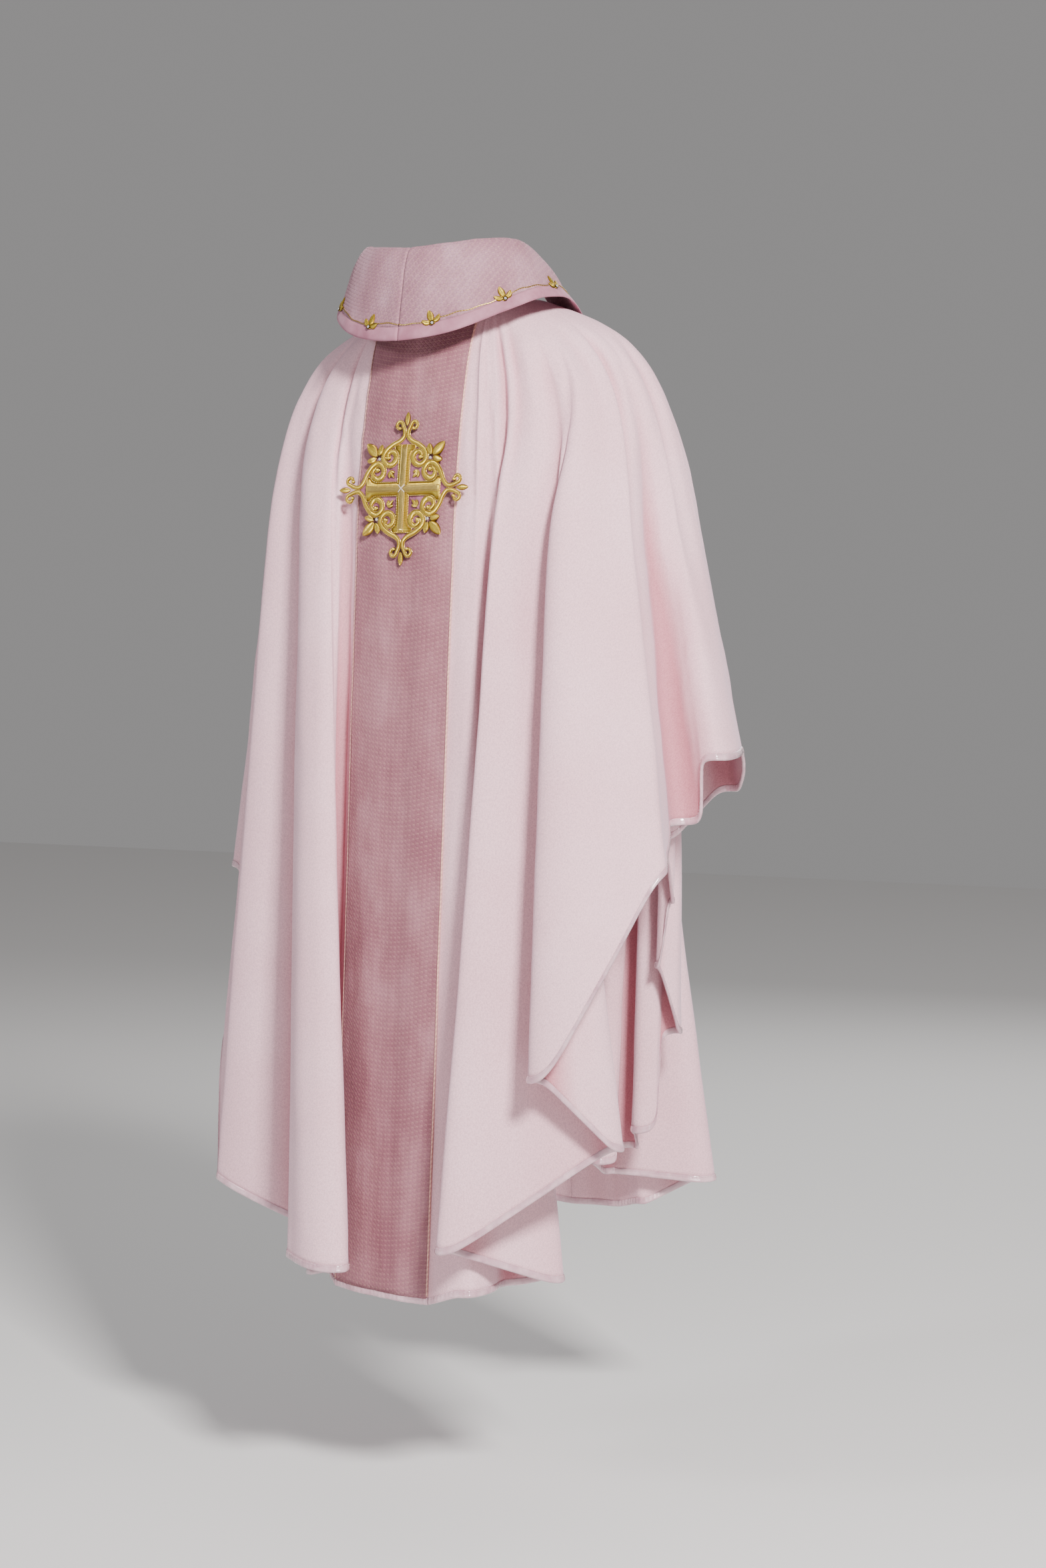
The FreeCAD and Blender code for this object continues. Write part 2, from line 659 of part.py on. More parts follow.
def cross_arm():
    """half of an arm outline from the mitred centre to the flared end, going up"""
    w, f, h = size("cross_wide") / 2, size("cross_flare") / 2, size("cross_half")
    half = [(w, w), (w, h - 15), (w + 0.8, h - 11), (w + 2.6, h - 7.6), (f - 0.6, h - 5.2), (f, h - 3.4),
            (f - 0.8, h)]
    return [(0.35, 0.35 + 0.2)] + half + [(-x, y) for x, y in reversed(half)] + [(-0.35, 0.35 + 0.2)]


def ground_outline():
    """the ogee quatrefoil under the scrolls"""
    lobe = [(2.4, 72.0), (4.6, 66.0), (5.4, 61.6), (11.6, 57.2), (20.6, 53.2), (28.4, 47.4),
            (32.0, 40.4), (30.6, 34.0)]
    pts = []
    for k in range(4):
        right = turned(lobe, 2 * k)
        left = turned(list(reversed(lobe)), 2 * k + 1)
        pts += left + right
    return pts


LEAF = size("leaf_relief")


def emblem(prefix, bed):
    g, rel = size("ground_thick"), size("scroll_relief")
    top = g + GAP + 0.5
    lo, hi = bed.z0 - 84, bed.z0 + 84
    rows = [(bed.depth(lo + (hi - lo) * k / 24.0), lo + (hi - lo) * k / 24.0) for k in range(25)]
    inner = curve_through([V(-90, y, z) for y, z in rows])
    outer = curve_through([V(-90, y + bed.side * g, z) for y, z in rows])
    ends = [Part.makeLine(c1.StartPoint, c2.StartPoint) if k == 0 else
            Part.makeLine(c1.EndPoint, c2.EndPoint) for k, (c1, c2) in enumerate([(inner, outer)] * 2)]
    rim = Part.Wire(Part.__sortEdges__([inner.toShape(), ends[1], outer.toShape(), ends[0]]))
    slab = Part.Face(rim).extrude(V(180, 0, 0))
    outline = polygon_face(ground_outline())
    outline.Placement = FreeCAD.Placement(FreeCAD.Matrix(-bed.side, 0, 0, 0, 0, 0, bed.side, -400 * bed.side,
                                                         0, 1, 0, bed.z0, 0, 0, 0, 1))
    prism = outline.extrude(V(0, 800 * bed.side, 0))
    ground = slab.common(prism)
    keep(prefix + "_ground", Part.makeCompound(ground.Solids), Thickness="ground_thick")

    arms = []
    for k in range(4):
        pts = turned(cross_arm(), 2 * k)
        arms.append(bed.pad(polygon_face(pts), middle(pts), size("cross_relief"), top))
    for name, pair in (("_cross_upright", (0, 2)), ("_cross_bar", (1, 3))):
        keep(prefix + name, Part.makeCompound([arms[i] for i in pair]), Relief="cross_relief",
             HalfLength="cross_half")

    threads = []
    lift = top + size("cross_relief") + GAP
    for a in (45, 135):
        rod = Part.makeBox(15, 0.8, 0.6, V(-7.5, -0.4, 0 if a == 45 else 0.7))
        rod.rotate(V(), V(0, 0, 1), a)
        threads.append(placed(rod, bed.frame(0, 0, lift)))
    keep(prefix + "_crossing_threads", Part.makeCompound(threads))

    for lobe, name in enumerate(("top", "right", "bottom", "left")):
        strokes = []
        for k in (2 * lobe, 2 * lobe + 1):
            pts = turned(SCROLL, k)
            strokes.append(bed.pad(ribbon_face(pts, SCROLL_WIDE), middle(pts), rel, top))
        keep(prefix + "_scrolls_" + name, Part.makeCompound(strokes), Relief="scroll_relief")

    h = size("emblem_half")
    spears, leaves, fleurs, gems = [], [], [], []
    for k in range(4):
        blade = turned([(0, 79.5), (0, h)], 2 * k)
        spears.append(bed.pad(leaf_face(blade[0], blade[1], 4.6), middle(blade), LEAF, top))
        corner = []
        for root, tip, wide in (((41.0, 41.0), (57, 57), 10), ((38.6, 41.6), (34.6, 55.2), 7),
                                ((41.6, 38.6), (55.2, 34.6), 7)):
            r, t = turned([root, tip], 2 * k)
            corner.append(bed.pad(leaf_face(r, t, wide), middle([r, t]), LEAF, top))
        leaves += corner
        for root, tip, wide in (((22.0, 22.0), (13.6, 13.6), 3.2), ((21.0, 22.4), (13.4, 20.2), 3.0),
                                ((22.4, 21.0), (20.2, 13.4), 3.0)):
            r, t = turned([root, tip], 2 * k)
            fleurs.append(bed.pad(leaf_face(r, t, wide), middle([r, t]), LEAF * 0.7, top))
        gx, gy = turned([(37.4, 37.4)], 2 * k)[0]
        gems.append(placed(crystal(), bed.frame(gx, gy, top)))
    keep(prefix + "_spear_tips", Part.makeCompound(spears), Relief="leaf_relief")
    keep(prefix + "_corner_leaves", Part.makeCompound(leaves), Relief="leaf_relief")
    keep(prefix + "_inner_fleurs", Part.makeCompound(fleurs), Relief="leaf_relief")
    keep(prefix + "_crystals", Part.makeCompound(gems), Radius="crystal_radius")


emblem("back_emblem", Bed("back_centre", 1, size("emblem_z")))
emblem("front_emblem", Bed("front_centre", -1, size("front_emblem_z")))

# ------------------------------------------------- check and export
doc.recompute()
os.makedirs("parts", exist_ok=True)
for obj in made:
    bad = [s for s in obj.State if s in ("Invalid", "Error")]
    shape = obj.Shape
    if bad or shape.isNull() or not shape.isValid() or not shape.Solids or shape.Volume <= 0:
        raise RuntimeError("%s: state %s, valid %s, volume %.1f"
                           % (obj.Label, bad, (not shape.isNull()) and shape.isValid(), shape.Volume))
    shape.exportStep("parts/%s.step" % obj.Label)
    box = shape.BoundBox
    print("%-26s solids %2d  volume %10.0f  x %6.0f %6.0f  y %6.0f %6.0f  z %6.0f %6.0f"
          % (obj.Label, len(shape.Solids), shape.Volume, box.XMin, box.XMax, box.YMin, box.YMax,
             box.ZMin, box.ZMax))
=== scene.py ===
from math import radians, degrees, sin, cos, asin, atan2, hypot, pi, dist
import bpy
import numpy as np
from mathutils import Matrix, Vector


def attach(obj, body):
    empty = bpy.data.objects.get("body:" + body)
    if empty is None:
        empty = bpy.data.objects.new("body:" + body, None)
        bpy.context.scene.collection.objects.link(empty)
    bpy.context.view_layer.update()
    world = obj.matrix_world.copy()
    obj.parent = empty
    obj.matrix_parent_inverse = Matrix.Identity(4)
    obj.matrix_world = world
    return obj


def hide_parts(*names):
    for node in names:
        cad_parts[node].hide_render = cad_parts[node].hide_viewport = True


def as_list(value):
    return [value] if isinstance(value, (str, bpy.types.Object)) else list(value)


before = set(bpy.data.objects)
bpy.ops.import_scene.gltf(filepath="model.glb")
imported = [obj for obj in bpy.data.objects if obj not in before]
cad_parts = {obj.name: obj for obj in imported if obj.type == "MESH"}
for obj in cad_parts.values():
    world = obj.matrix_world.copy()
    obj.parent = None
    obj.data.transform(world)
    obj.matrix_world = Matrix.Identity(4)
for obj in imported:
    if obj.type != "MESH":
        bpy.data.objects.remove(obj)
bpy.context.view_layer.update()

# Sizes in mm, the same as in the CAD source; fold_bulge is a share of a fold's width.
MM = {
    "cloth_thick": 1.6, "layer_gap": 0.3, "binding_wide": 10,
    "orphrey_half": 70, "orphrey_thick": 1.2, "piping_radius": 1.6, "piping_out": 2.4,
    "neck_half_wide": 97, "neck_back": 146, "neck_front": 118,
    "turn_neck": 3, "turn_hem": 20, "fold_bulge": 0.05,
    "collar_thick": 2.4, "collar_band": 17, "couched_cord_radius": 0.8, "couched_cord_up": 20.5,
    "lily_leaf": 17, "lily_relief": 2.0, "crystal_radius": 1.9, "crystal_high": 1.8,
    "emblem_half": 95, "emblem_z": -252, "front_emblem_z": -302, "ground_thick": 1.0,
    "cross_half": 54, "cross_wide": 16.5, "cross_flare": 30, "cross_relief": 3.4,
    "scroll_relief": 2.6, "leaf_relief": 2.2,
}
CLOTH, GAP, STRIP = MM["cloth_thick"], MM["layer_gap"], MM["orphrey_half"]

# Every rib runs from the neckline to the hem: its bearing at the neck (0 is the
# back, 90 the wearer's right), where it passes at chest height, where it ends.
RIBS = [
    ("back_centre", 0, (0, 177, -260), (0, 238, -1250)),
    ("back_orphrey_r", 9, (-70, 173, -260), (-68, 238, -1252)),
    ("c_ridge_r", 15, (-98, 167, -262), (-132, 240, -1236)),
    ("c_valley_r", 19, (-112, 158, -264), (-138, 150, -1236)),
    ("c_turn_r", 23, (-122, 160, -265), (-206, 136, -1226)),
    ("a_left", 29, (-132, 186, -268), (-122, 308, -1172)),
    ("a_right", 43, (-200, 150, -270), (-334, 198, -1044)),
    ("a2_left", 51, (-210, 180, -272), (-246, 302, -958)),
    ("a2_right", 66, (-284, 110, -272), (-376, 190, -714)),
    ("arm_in_r", 74, (-266, 52, -270), (-322, 62, -664)),
    ("sleeve_b_r", 83, (-302, 28, -270), (-384, 64, -584)),
    ("wrist_r", 93, (-302, -16, -272), (-364, -34, -578)),
    ("sleeve_f_r", 103, (-284, -58, -272), (-318, -96, -630)),
    ("f1_in_r", 110, (-256, -58, -272), (-248, -42, -690)),
    ("f1_turn_r", 116, (-250, -86, -272), (-240, -78, -775)),
    ("f2_in_r", 122, (-228, -92, -272), (-212, -84, -860)),
    ("f2_turn_r", 129, (-224, -126, -272), (-222, -146, -950)),
    ("f3_in_r", 135, (-190, -104, -272), (-168, -104, -1080)),
    ("f3_right_r", 141, (-182, -144, -272), (-142, -164, -1108)),
    ("f3_left_r", 147, (-156, -120, -272), (-100, -114, -1128)),
    ("f4_in_r", 153, (-136, -132, -272), (-92, -172, -1150)),
    ("f4_turn_r", 160, (-124, -166, -270), (-214, -254, -1160)),
    ("f5_in_r", 166, (-98, -142, -268), (-114, -222, -1196)),
    ("front_orphrey_r", 171, (-70, -150, -266), (-70, -238, -1206)),
    ("front_centre", 180, (0, -154, -264), (0, -238, -1208)),
    ("front_orphrey_l", 189, (70, -150, -266), (70, -238, -1206)),
    ("f5_in_l", 194, (98, -142, -268), (116, -222, -1196)),
    ("f4_turn_l", 200, (122, -160, -270), (220, -260, -1170)),
    ("f4_in_l", 207, (136, -134, -272), (108, -186, -1150)),
    ("f3_left_l", 213, (158, -126, -272), (152, -116, -1122)),
    ("f3_right_l", 219, (184, -138, -272), (214, -156, -1084)),
    ("f3_in_l", 225, (194, -112, -272), (184, -100, -1020)),
    ("f2_turn_l", 231, (222, -120, -272), (256, -142, -970)),
    ("f2_in_l", 238, (230, -88, -272), (212, -82, -920)),
    ("f1_turn_l", 244, (250, -92, -272), (276, -106, -872)),
    ("f1_in_l", 250, (264, -60, -272), (282, -54, -812)),
    ("sleeve_f_l", 257, (290, -52, -272), (344, -88, -764)),
    ("wrist_l", 267, (302, 6, -272), (372, -6, -716)),
    ("sleeve_b_l", 275, (294, 46, -270), (354, 58, -742)),
    ("arm_in_l", 282, (262, 74, -270), (286, 72, -820)),
    ("f_edge_l", 290, (250, 114, -268), (304, 146, -960)),
    ("e_left", 300, (230, 138, -266), (290, 180, -1138)),
    ("e_right", 312, (174, 146, -264), (150, 190, -1180)),
    ("d_left", 321, (160, 172, -262), (112, 276, -1206)),
    ("d_right", 336, (104, 188, -260), (16, 290, -1212)),
    ("d_under", 343, (94, 164, -260), (124, 208, -1236)),
    ("back_orphrey_l", 351, (70, 173, -260), (70, 226, -1246)),
]
NAMES = [r[0] for r in RIBS]
PER = 6                      # spline poles for each rib
AROUND = PER * len(RIBS)
STRIP_BEARING = 9            # the ribs at the strips' edges


def at(name):
    """place of a rib in the direction round the wearer"""
    return PER * NAMES.index(name) + 1.0


def lerp(a, b, t):
    return tuple(p + (q - p) * t for p, q in zip(a, b))


def oval(angle, half_w, y_back, y_front, z_side, z_back, z_front, vee=2.0):
    """point of a sloping ring; vee under 2 narrows its front to a V"""
    a = radians(angle)
    c = cos(a)
    if c > 0:
        y = y_back * c
    else:
        y = -y_front * (1 - abs(sin(a)) ** vee) ** (1 / vee)
    zc = z_back if c > 0 else z_front
    return (-half_w * sin(a), y, z_side + (zc - z_side) * abs(c) ** 1.4)


def ring(bearing, half_w, *rest):
    """the same with bearings spread so the straight centre strips keep their width"""
    e = degrees(asin(min(0.999, STRIP / half_w)))
    quarter, q = divmod(bearing, 90)
    if quarter % 2:
        q = 90 - q
    b = STRIP_BEARING
    q = q * e / b if q <= b else e + (q - b) * (90 - e) / (90 - b)
    return oval({0: q, 1: 180 - q, 2: 180 + q, 3: 360 - q}[int(quarter)], half_w, *rest)


# Rings of the drape above the chest: half width, reach to the back and to the front,
# height at the sides, at the back and at the front, exponent of the front (under 2 for a V).
NECK_RING = (MM["neck_half_wide"], MM["neck_back"], MM["neck_front"], -10, -12, -112, 1.5)
TOP_RING = (152, 149, 128, -28, -58, -138, 1.7)
SHOULDER_RING = (230, 157, 139, -56, -126, -176)
CAP_RING = (284, 170, 146, -140, -196, -216)
EDGE_UP = 90                 # the last ring of poles before the hem lies so far above it


def levels():
    """the rings of poles from neckline to hem, each with its fold rounding"""
    neck, top, shoulder, cap = ([ring(r[1], *shape) for r in RIBS]
                                for shape in (NECK_RING, TOP_RING, SHOULDER_RING, CAP_RING))
    mid, hem = [r[2] for r in RIBS], [r[3] for r in RIBS]
    cap = [lerp(c, lerp(s, m, 0.62), 0.5) for c, s, m in zip(cap, shoulder, mid)]
    low, knee = ([lerp(m, h, share) for m, h in zip(mid, hem)] for share in (0.30, 0.62))
    edge = [lerp(h, m, EDGE_UP / dist(m, h)) for m, h in zip(mid, hem)]
    r0, r1 = MM["turn_neck"], MM["turn_hem"]
    shares = (0, 0.06, 0.18, 0.35, 0.53, 0.7, 0.82, 0.94, 1)
    rows = (neck, top, shoulder, cap, mid, low, knee, edge, hem)
    return [(row, r0 + (r1 - r0) * s) for row, s in zip(rows, shares)]


def belt(pts, radius, bulge):
    """poles along a band laid tightly round a pin at every fold turn"""
    n = len(pts)
    flat = [(p[0], p[1]) for p in pts]

    def away(a, b):
        return (b[0] - a[0], b[1] - a[1])

    pins = []
    for i in range(n):
        a, b = away(flat[i], flat[i - 1]), away(flat[i], flat[(i + 1) % n])
        la, lb = hypot(*a), hypot(*b)
        e1, e2 = (a[0] / la, a[1] / la), (b[0] / lb, b[1] / lb)
        hand = 1 if e1[1] * e2[0] - e1[0] * e2[1] >= 0 else -1
        r = min(radius, 0.3 * la, 0.3 * lb)
        m = (e1[0] + e2[0], e1[1] + e2[1])
        k = hypot(*m)
        if k < 1e-6:
            m, k = (-e2[1] * hand, e2[0] * hand), 1
        pins.append((flat[i][0] + m[0] / k * r, flat[i][1] + m[1] / k * r, r, hand))
    runs = []
    for i in range(n):
        a, b = pins[i], pins[(i + 1) % n]
        d = away(a, b)
        lean = (b[3] * b[2] - a[3] * a[2]) / hypot(*d)
        t = atan2(d[1], d[0]) - asin(max(-0.99, min(0.99, lean)))
        nx, ny = -sin(t), cos(t)
        runs.append(((a[0] - a[3] * a[2] * nx, a[1] - a[3] * a[2] * ny),
                     (b[0] - b[3] * b[2] * nx, b[1] - b[3] * b[2] * ny)))
    lengths = [dist(a, b) for a, b in runs]

    def spare(i, arc):
        """straight length added to each end of a short arc, so that its poles stay apart"""
        return max(0, 0.18 * min(lengths[i - 1], lengths[i]) - arc / 2)

    arcs = []
    for i in range(n):
        px, py, r, hand = pins[i]
        pin, pout = runs[i - 1][1], runs[i][0]
        a0 = atan2(pin[1] - py, pin[0] - px)
        sweep = ((atan2(pout[1] - py, pout[0] - px) - a0) * hand) % (2 * pi)
        if sweep > 1.75 * pi:
            sweep -= 2 * pi
        arcs.append((a0, sweep * hand, spare(i, r * abs(sweep))))
    out = []
    for i in range(n):
        px, py, r, hand = pins[i]
        a0, sweep, more = arcs[i]
        j = (i + 1) % n
        z0, z, z1 = pts[i - 1][2], pts[i][2], pts[j][2]
        before, after = more / lengths[i - 1], more / lengths[i]
        top = r * (1 + 0.12 * abs(sweep) / pi)
        out.append(lerp(runs[i - 1][1], runs[i - 1][0], before) + (z + (z0 - z) * before,))
        out.append((px + top * cos(a0 + sweep / 2), py + top * sin(a0 + sweep / 2), z))
        out.append(lerp(runs[i][0], runs[i][1], after) + (z + (z1 - z) * after,))
        q0, q1 = runs[i]
        d = away(q0, q1)
        length = lengths[i]
        nx, ny = d[1] / length, -d[0] / length
        turning = (flat[j][0] - flat[i][0]) * -flat[i][1] + (flat[j][1] - flat[i][1]) * flat[i][0]
        crown = bulge * min(length, 140) if turning > 0 else 0
        until = 1 - arcs[j][2] / length
        for step in (0.25, 0.5, 0.75):
            t = after + (until - after) * step
            b = crown * sin(pi * t)
            out.append((q0[0] + d[0] * t + nx * b, q0[1] + d[1] * t + ny * b, z + (z1 - z) * t))
    return out


def weights_round(n, u):
    u = np.asarray(u, float) % n
    i = np.floor(u).astype(int)
    t = u - i
    w = ((1 - t) ** 3 / 6, (3 * t ** 3 - 6 * t * t + 4) / 6,
         (-3 * t ** 3 + 3 * t * t + 3 * t + 1) / 6, t ** 3 / 6)
    return i, w


def weights_down(m, v):
    k = np.concatenate([[0.0] * 3, np.linspace(0, 1, m - 2), [1.0] * 3])
    v = np.clip(np.asarray(v, float), 0, 1 - 1e-12)
    B = np.array([(v >= k[i]) & (v < k[i + 1]) for i in range(len(k) - 1)], float)
    for p in (1, 2, 3):
        C = np.zeros((len(k) - 1 - p, len(v)))
        for i in range(len(k) - 1 - p):
            a, b = k[i + p] - k[i], k[i + p + 1] - k[i + 1]
            if a > 0:
                C[i] += (v - k[i]) / a * B[i]
            if b > 0:
                C[i] += (k[i + p + 1] - v) / b * B[i + 1]
        B = C
    return B.T


class Skin:
    """the same closed spline surface as in the CAD source, evaluated on arrays"""

    def __init__(self, rows):
        self.P = np.array(rows, float)
        self.m, self.n = self.P.shape[:2]

    def pts(self, u, v):
        """points at matching arrays of u and v"""
        u, v = np.broadcast_arrays(np.asarray(u, float), np.asarray(v, float))
        i, w = weights_round(self.n, u.ravel())
        D = weights_down(self.m, v.ravel())
        out = np.zeros((u.size, 3))
        for k in range(4):
            cols = self.P[:, (i + k - 1) % self.n]
            out += w[k][:, None] * np.einsum("qm,mqc->qc", D, cols)
        return out.reshape(u.shape + (3,))

    def normals(self, u, v):
        v = np.clip(np.asarray(v, float), 0.0006, 0.9994)
        a = self.pts(u + 0.02, v) - self.pts(u - 0.02, v)
        b = self.pts(u, v + 0.0005) - self.pts(u, v - 0.0005)
        n = np.cross(b, a)
        return n / np.maximum(np.linalg.norm(n, axis=-1, keepdims=True), 1e-9)

    def off(self, u, v, d):
        """points d mm out from the surface"""
        return self.pts(u, v) + self.normals(u, v) * np.asarray(d)[..., None]


cloth = Skin([belt(row, radius, MM["fold_bulge"]) for row, radius in levels()])
BIND = 1 - MM["binding_wide"] / (3 * EDGE_UP * (cloth.m - 3))
CB, CF = at("back_centre"), at("front_centre")
BL, BR = at("back_orphrey_l") - AROUND, at("back_orphrey_r")
FR, FL = at("front_orphrey_r"), at("front_orphrey_l")
SHOULDER_R, SHOULDER_L = at("wrist_r"), at("wrist_l")

# Collar stations every 30 degrees from centre back by the wearer's right to centre front:
# the fold line, the free edge, and the bearings where the neckline meets them.
FOLD = [(0, 163, 43), (-52, 152, 47), (-92, 118, 53), (-107, 70, 50), (-106, 8, 14),
        (-74, -66, -44), (0, -128, -98)]
EDGE = [(0, 194, -71), (-70, 180, -62), (-125, 140, -36), (-150, 80, -15), (-144, 0, -20),
        (-116, -98, -96), (0, -167, -176)]
SEAM = [0, 22, 42, 62, 90, 128, 180]
STEPS = 8                    # poles between two stations
HALF = STEPS * (len(FOLD) - 1)
COLLAR_LIFT = CLOTH + 2.6    # the stand starts so far above the neckline
EDGE_ROLL = 26               # the fall's last ring of poles lies so far from its edge
NECK_Y = 25                  # the axis of the neck


def mirrored(stations):
    return stations + [(-x, y, z) for x, y, z in reversed(stations[1:-1])]


def around(stations, k):
    """smooth closed loop through the stations"""
    n = len(stations)
    i, t = int(k // 1) % n, k % 1
    p = [stations[(i + d) % n] for d in (-1, 0, 1, 2)]
    w = (-t ** 3 + 2 * t * t - t, 3 * t ** 3 - 5 * t * t + 2, -3 * t ** 3 + 4 * t * t + t, t ** 3 - t * t)
    return tuple(sum(w[j] * p[j][c] for j in range(4)) / 2 for c in range(3))


def outward(p, reach, rise):
    """move a point away from the axis of the neck, and up"""
    r = hypot(p[0], p[1] - NECK_Y)
    return (p[0] + p[0] / r * reach, p[1] + (p[1] - NECK_Y) / r * reach, p[2] + rise)


def collar_rows():
    """rings of poles up the stand, over the fold and down to the free edge"""
    lines = [mirrored(line) for line in ([oval(a, *NECK_RING) for a in SEAM], FOLD, EDGE)]
    spokes = []
    for k in range(2 * HALF):
        b, f, e = (around(line, k / STEPS) for line in lines)
        base = outward(b, 0, COLLAR_LIFT)
        near = lerp(e, f, EDGE_ROLL / dist(e, f))
        spokes.append((base, lerp(base, outward(f, -5, 0), 0.4), outward(f, -8, -2), outward(f, 3, 9),
                       outward(lerp(f, e, 0.34), 9, 0), outward(near, 1, 0), e))
    return list(zip(*spokes))


collar = Skin(collar_rows())


# ------------------------------------------------- small relief of the real cloth
class Ripple:
    """smooth repeatable noise over (u, v), seamless round the garment"""

    def __init__(self, seed, nu, nv, period):
        self.g = np.random.RandomState(seed).uniform(-1, 1, (nu, nv + 3))
        self.nu, self.nv, self.period = nu, nv, period

    def __call__(self, u, v):
        a = np.asarray(u, float) / self.period * self.nu
        b = np.clip(np.asarray(v, float), 0, 1) * self.nv
        i, j = np.floor(a).astype(int), np.floor(b).astype(int)
        s, t = a - i, b - j
        s, t = s * s * (3 - 2 * s), t * t * (3 - 2 * t)
        g = lambda p, q: self.g[(i + p) % self.nu, j + q]
        return (g(0, 0) * (1 - s) + g(1, 0) * s) * (1 - t) + (g(0, 1) * (1 - s) + g(1, 1) * s) * t


broad, fine, tiny = Ripple(3, 94, 7, AROUND), Ripple(5, 160, 26, AROUND), Ripple(8, 420, 70, AROUND)
col_broad, col_fine = Ripple(11, 26, 3, 96), Ripple(12, 70, 9, 96)


# soft creases: rib they start at, ribs they drift, start and end of the way down, width, depth
CREASES = [("c_ridge_r", 0.1, 0.02, 0.60, 1.6, 6.0), ("c_turn_r", 0.3, 0.02, 0.80, 1.7, -8.5),
           ("a_left", 0.25, 0.02, 0.95, 1.6, -6.5), ("a_left", 1.0, 0.05, 1.35, 1.7, 6.0),
           ("a_right", -0.6, 0.10, 1.30, 1.6, -8.0), ("a2_left", 0.35, 0.10, 1.20, 1.7, 6.0),
           ("a2_right", 0.35, 0.08, 1.25, 1.6, -8.5), ("a2_left", 1.0, 0.05, 0.70, 1.4, -5.0),
           ("sleeve_b_r", 0.3, 0.12, 0.80, 2.0, -6.0), ("d_right", 0.2, 0.02, 0.95, 1.5, -6.5),
           ("d_left", 0.5, 0.05, 1.20, 1.8, 6.0), ("e_right", 0.4, 0.04, 1.05, 1.7, -7.5),
           ("e_left", 0.3, 0.05, 1.20, 1.8, 6.0), ("f_edge_l", 0.4, 0.10, 0.95, 2.0, -6.5),
           ("f5_in_r", -0.4, 0.05, 1.05, 1.7, -5.5), ("f4_turn_r", 0.2, 0.06, 1.20, 1.8, 5.0),
           ("f5_in_l", 0.4, 0.05, 1.05, 1.7, -5.5), ("f4_turn_l", -0.2, 0.06, 1.20, 1.8, 5.0),
           ("f3_left_l", 0.5, 0.08, 1.10, 1.7, -5.5), ("f2_turn_l", 0.3, 0.08, 1.10, 1.8, 4.5)]


def creases(u, v):
    total = np.zeros(np.broadcast(u, v).shape)
    for rib, drift, start, end, width, deep in CREASES:
        middle = at(rib) + PER * drift * (0.35 + 0.65 * v)
        d = (u - middle + AROUND / 2) % AROUND - AROUND / 2
        rise = np.clip((v - start) / 0.12, 0, 1) * np.clip((end - v) / 0.25, 0, 1)
        total += deep * rise * rise * (3 - 2 * rise) * np.exp(-(d / width) ** 2)
    return total


def relief(u, v):
    """how far the cloth stands off the smooth drape, in mm"""
    u, v = np.asarray(u, float), np.asarray(v, float)
    strip = np.exp(-(((u - CB + 150) % AROUND - 150) / 9.0) ** 8) * 0.6
    return (creases(u, v) + 1.7 * broad(u, v) * np.minimum(1, v * 3.2) * (1 - strip)
            + 0.5 * fine(u, v) * np.minimum(1, v * 5)
            + 0.16 * tiny(u, v) * (0.4 + np.exp(-((1 - v) / 0.03) ** 2)))


def on_cloth(u, v, off=0.0):
    return cloth.off(u, v, relief(u, v) + off)


def on_collar(u, v, off=0.0):
    """the same on the collar, with the seams at centre back and front pulled in"""
    u, v = np.asarray(u, float), np.asarray(v, float)
    dent = 1.5 * col_broad(u, v) * np.clip((v - 0.5) * 5, 0, 1) + 0.45 * col_fine(u, v)
    seam = -0.7 * np.exp(-(((u + HALF / 2) % HALF - HALF / 2) / 0.16) ** 2) * (v > 0.4)
    return collar.off(u, v, dent * (1 - v * 0.35) + seam + off)


# ------------------------------------------------- mesh helpers
ROOT = "root"
made = {}


def unit(v):
    return v / np.linalg.norm(v, axis=-1, keepdims=True)


def run(P, axis=0):
    """length along rows of points"""
    s = np.cumsum(np.linalg.norm(np.diff(P, axis=axis), axis=-1), axis=axis)
    return np.concatenate([0 * np.take(s, [0], axis), s], axis)


def arc_uv(P):
    """metres along and down a grid of points, for weave that keeps its scale"""
    across = run(P, 1)
    return np.stack([across - across[:, [P.shape[1] // 2]], -run(P)], -1) * 0.001


def mesh(name, verts, faces, material, uv, node=None, slot=None, fold_shade=None, smooth=True):
    """verts in mm, faces as index rows of one width, uv one pair per vertex in metres"""
    me = bpy.data.meshes.new(name)
    me.vertices.add(len(verts))
    me.vertices.foreach_set("co", (verts * 0.001).ravel())
    width = faces.shape[1]
    me.loops.add(faces.size)
    me.loops.foreach_set("vertex_index", faces.ravel())
    me.polygons.add(len(faces))
    me.polygons.foreach_set("loop_start", np.arange(0, faces.size, width))
    me.polygons.foreach_set("loop_total", np.full(len(faces), width))
    me.polygons.foreach_set("use_smooth", np.full(len(faces), smooth))
    me.uv_layers.new(name="cut").data.foreach_set("uv", uv[faces.ravel()].ravel())
    # an attribute per point that holds the crepe's painted shade in the valleys between folds
    if fold_shade is not None:
        depth = me.attributes.new("fold_shade", "FLOAT", "POINT")
        depth.data.foreach_set("value", fold_shade.astype(np.float32))
    me.update()
    me.validate()
    me.materials.append(material)
    o = bpy.data.objects.new(name, me)
    bpy.context.scene.collection.objects.link(o)
    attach(o, ROOT)
    if node:
        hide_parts(node)
    made[name] = o


def quads(nr, nc, base=0, wrap_c=False, flip=False):
    """faces between nr rows of nc points; wrap_c closes each row into a ring"""
    R, C = np.meshgrid(np.arange(nr - 1), np.arange(nc if wrap_c else nc - 1), indexing="ij")
    C2 = (C + 1) % nc
    f = np.stack([R * nc + C, R * nc + C2, (R + 1) * nc + C2, (R + 1) * nc + C], -1).reshape(-1, 4) + base
    return f[:, ::-1] if flip else f


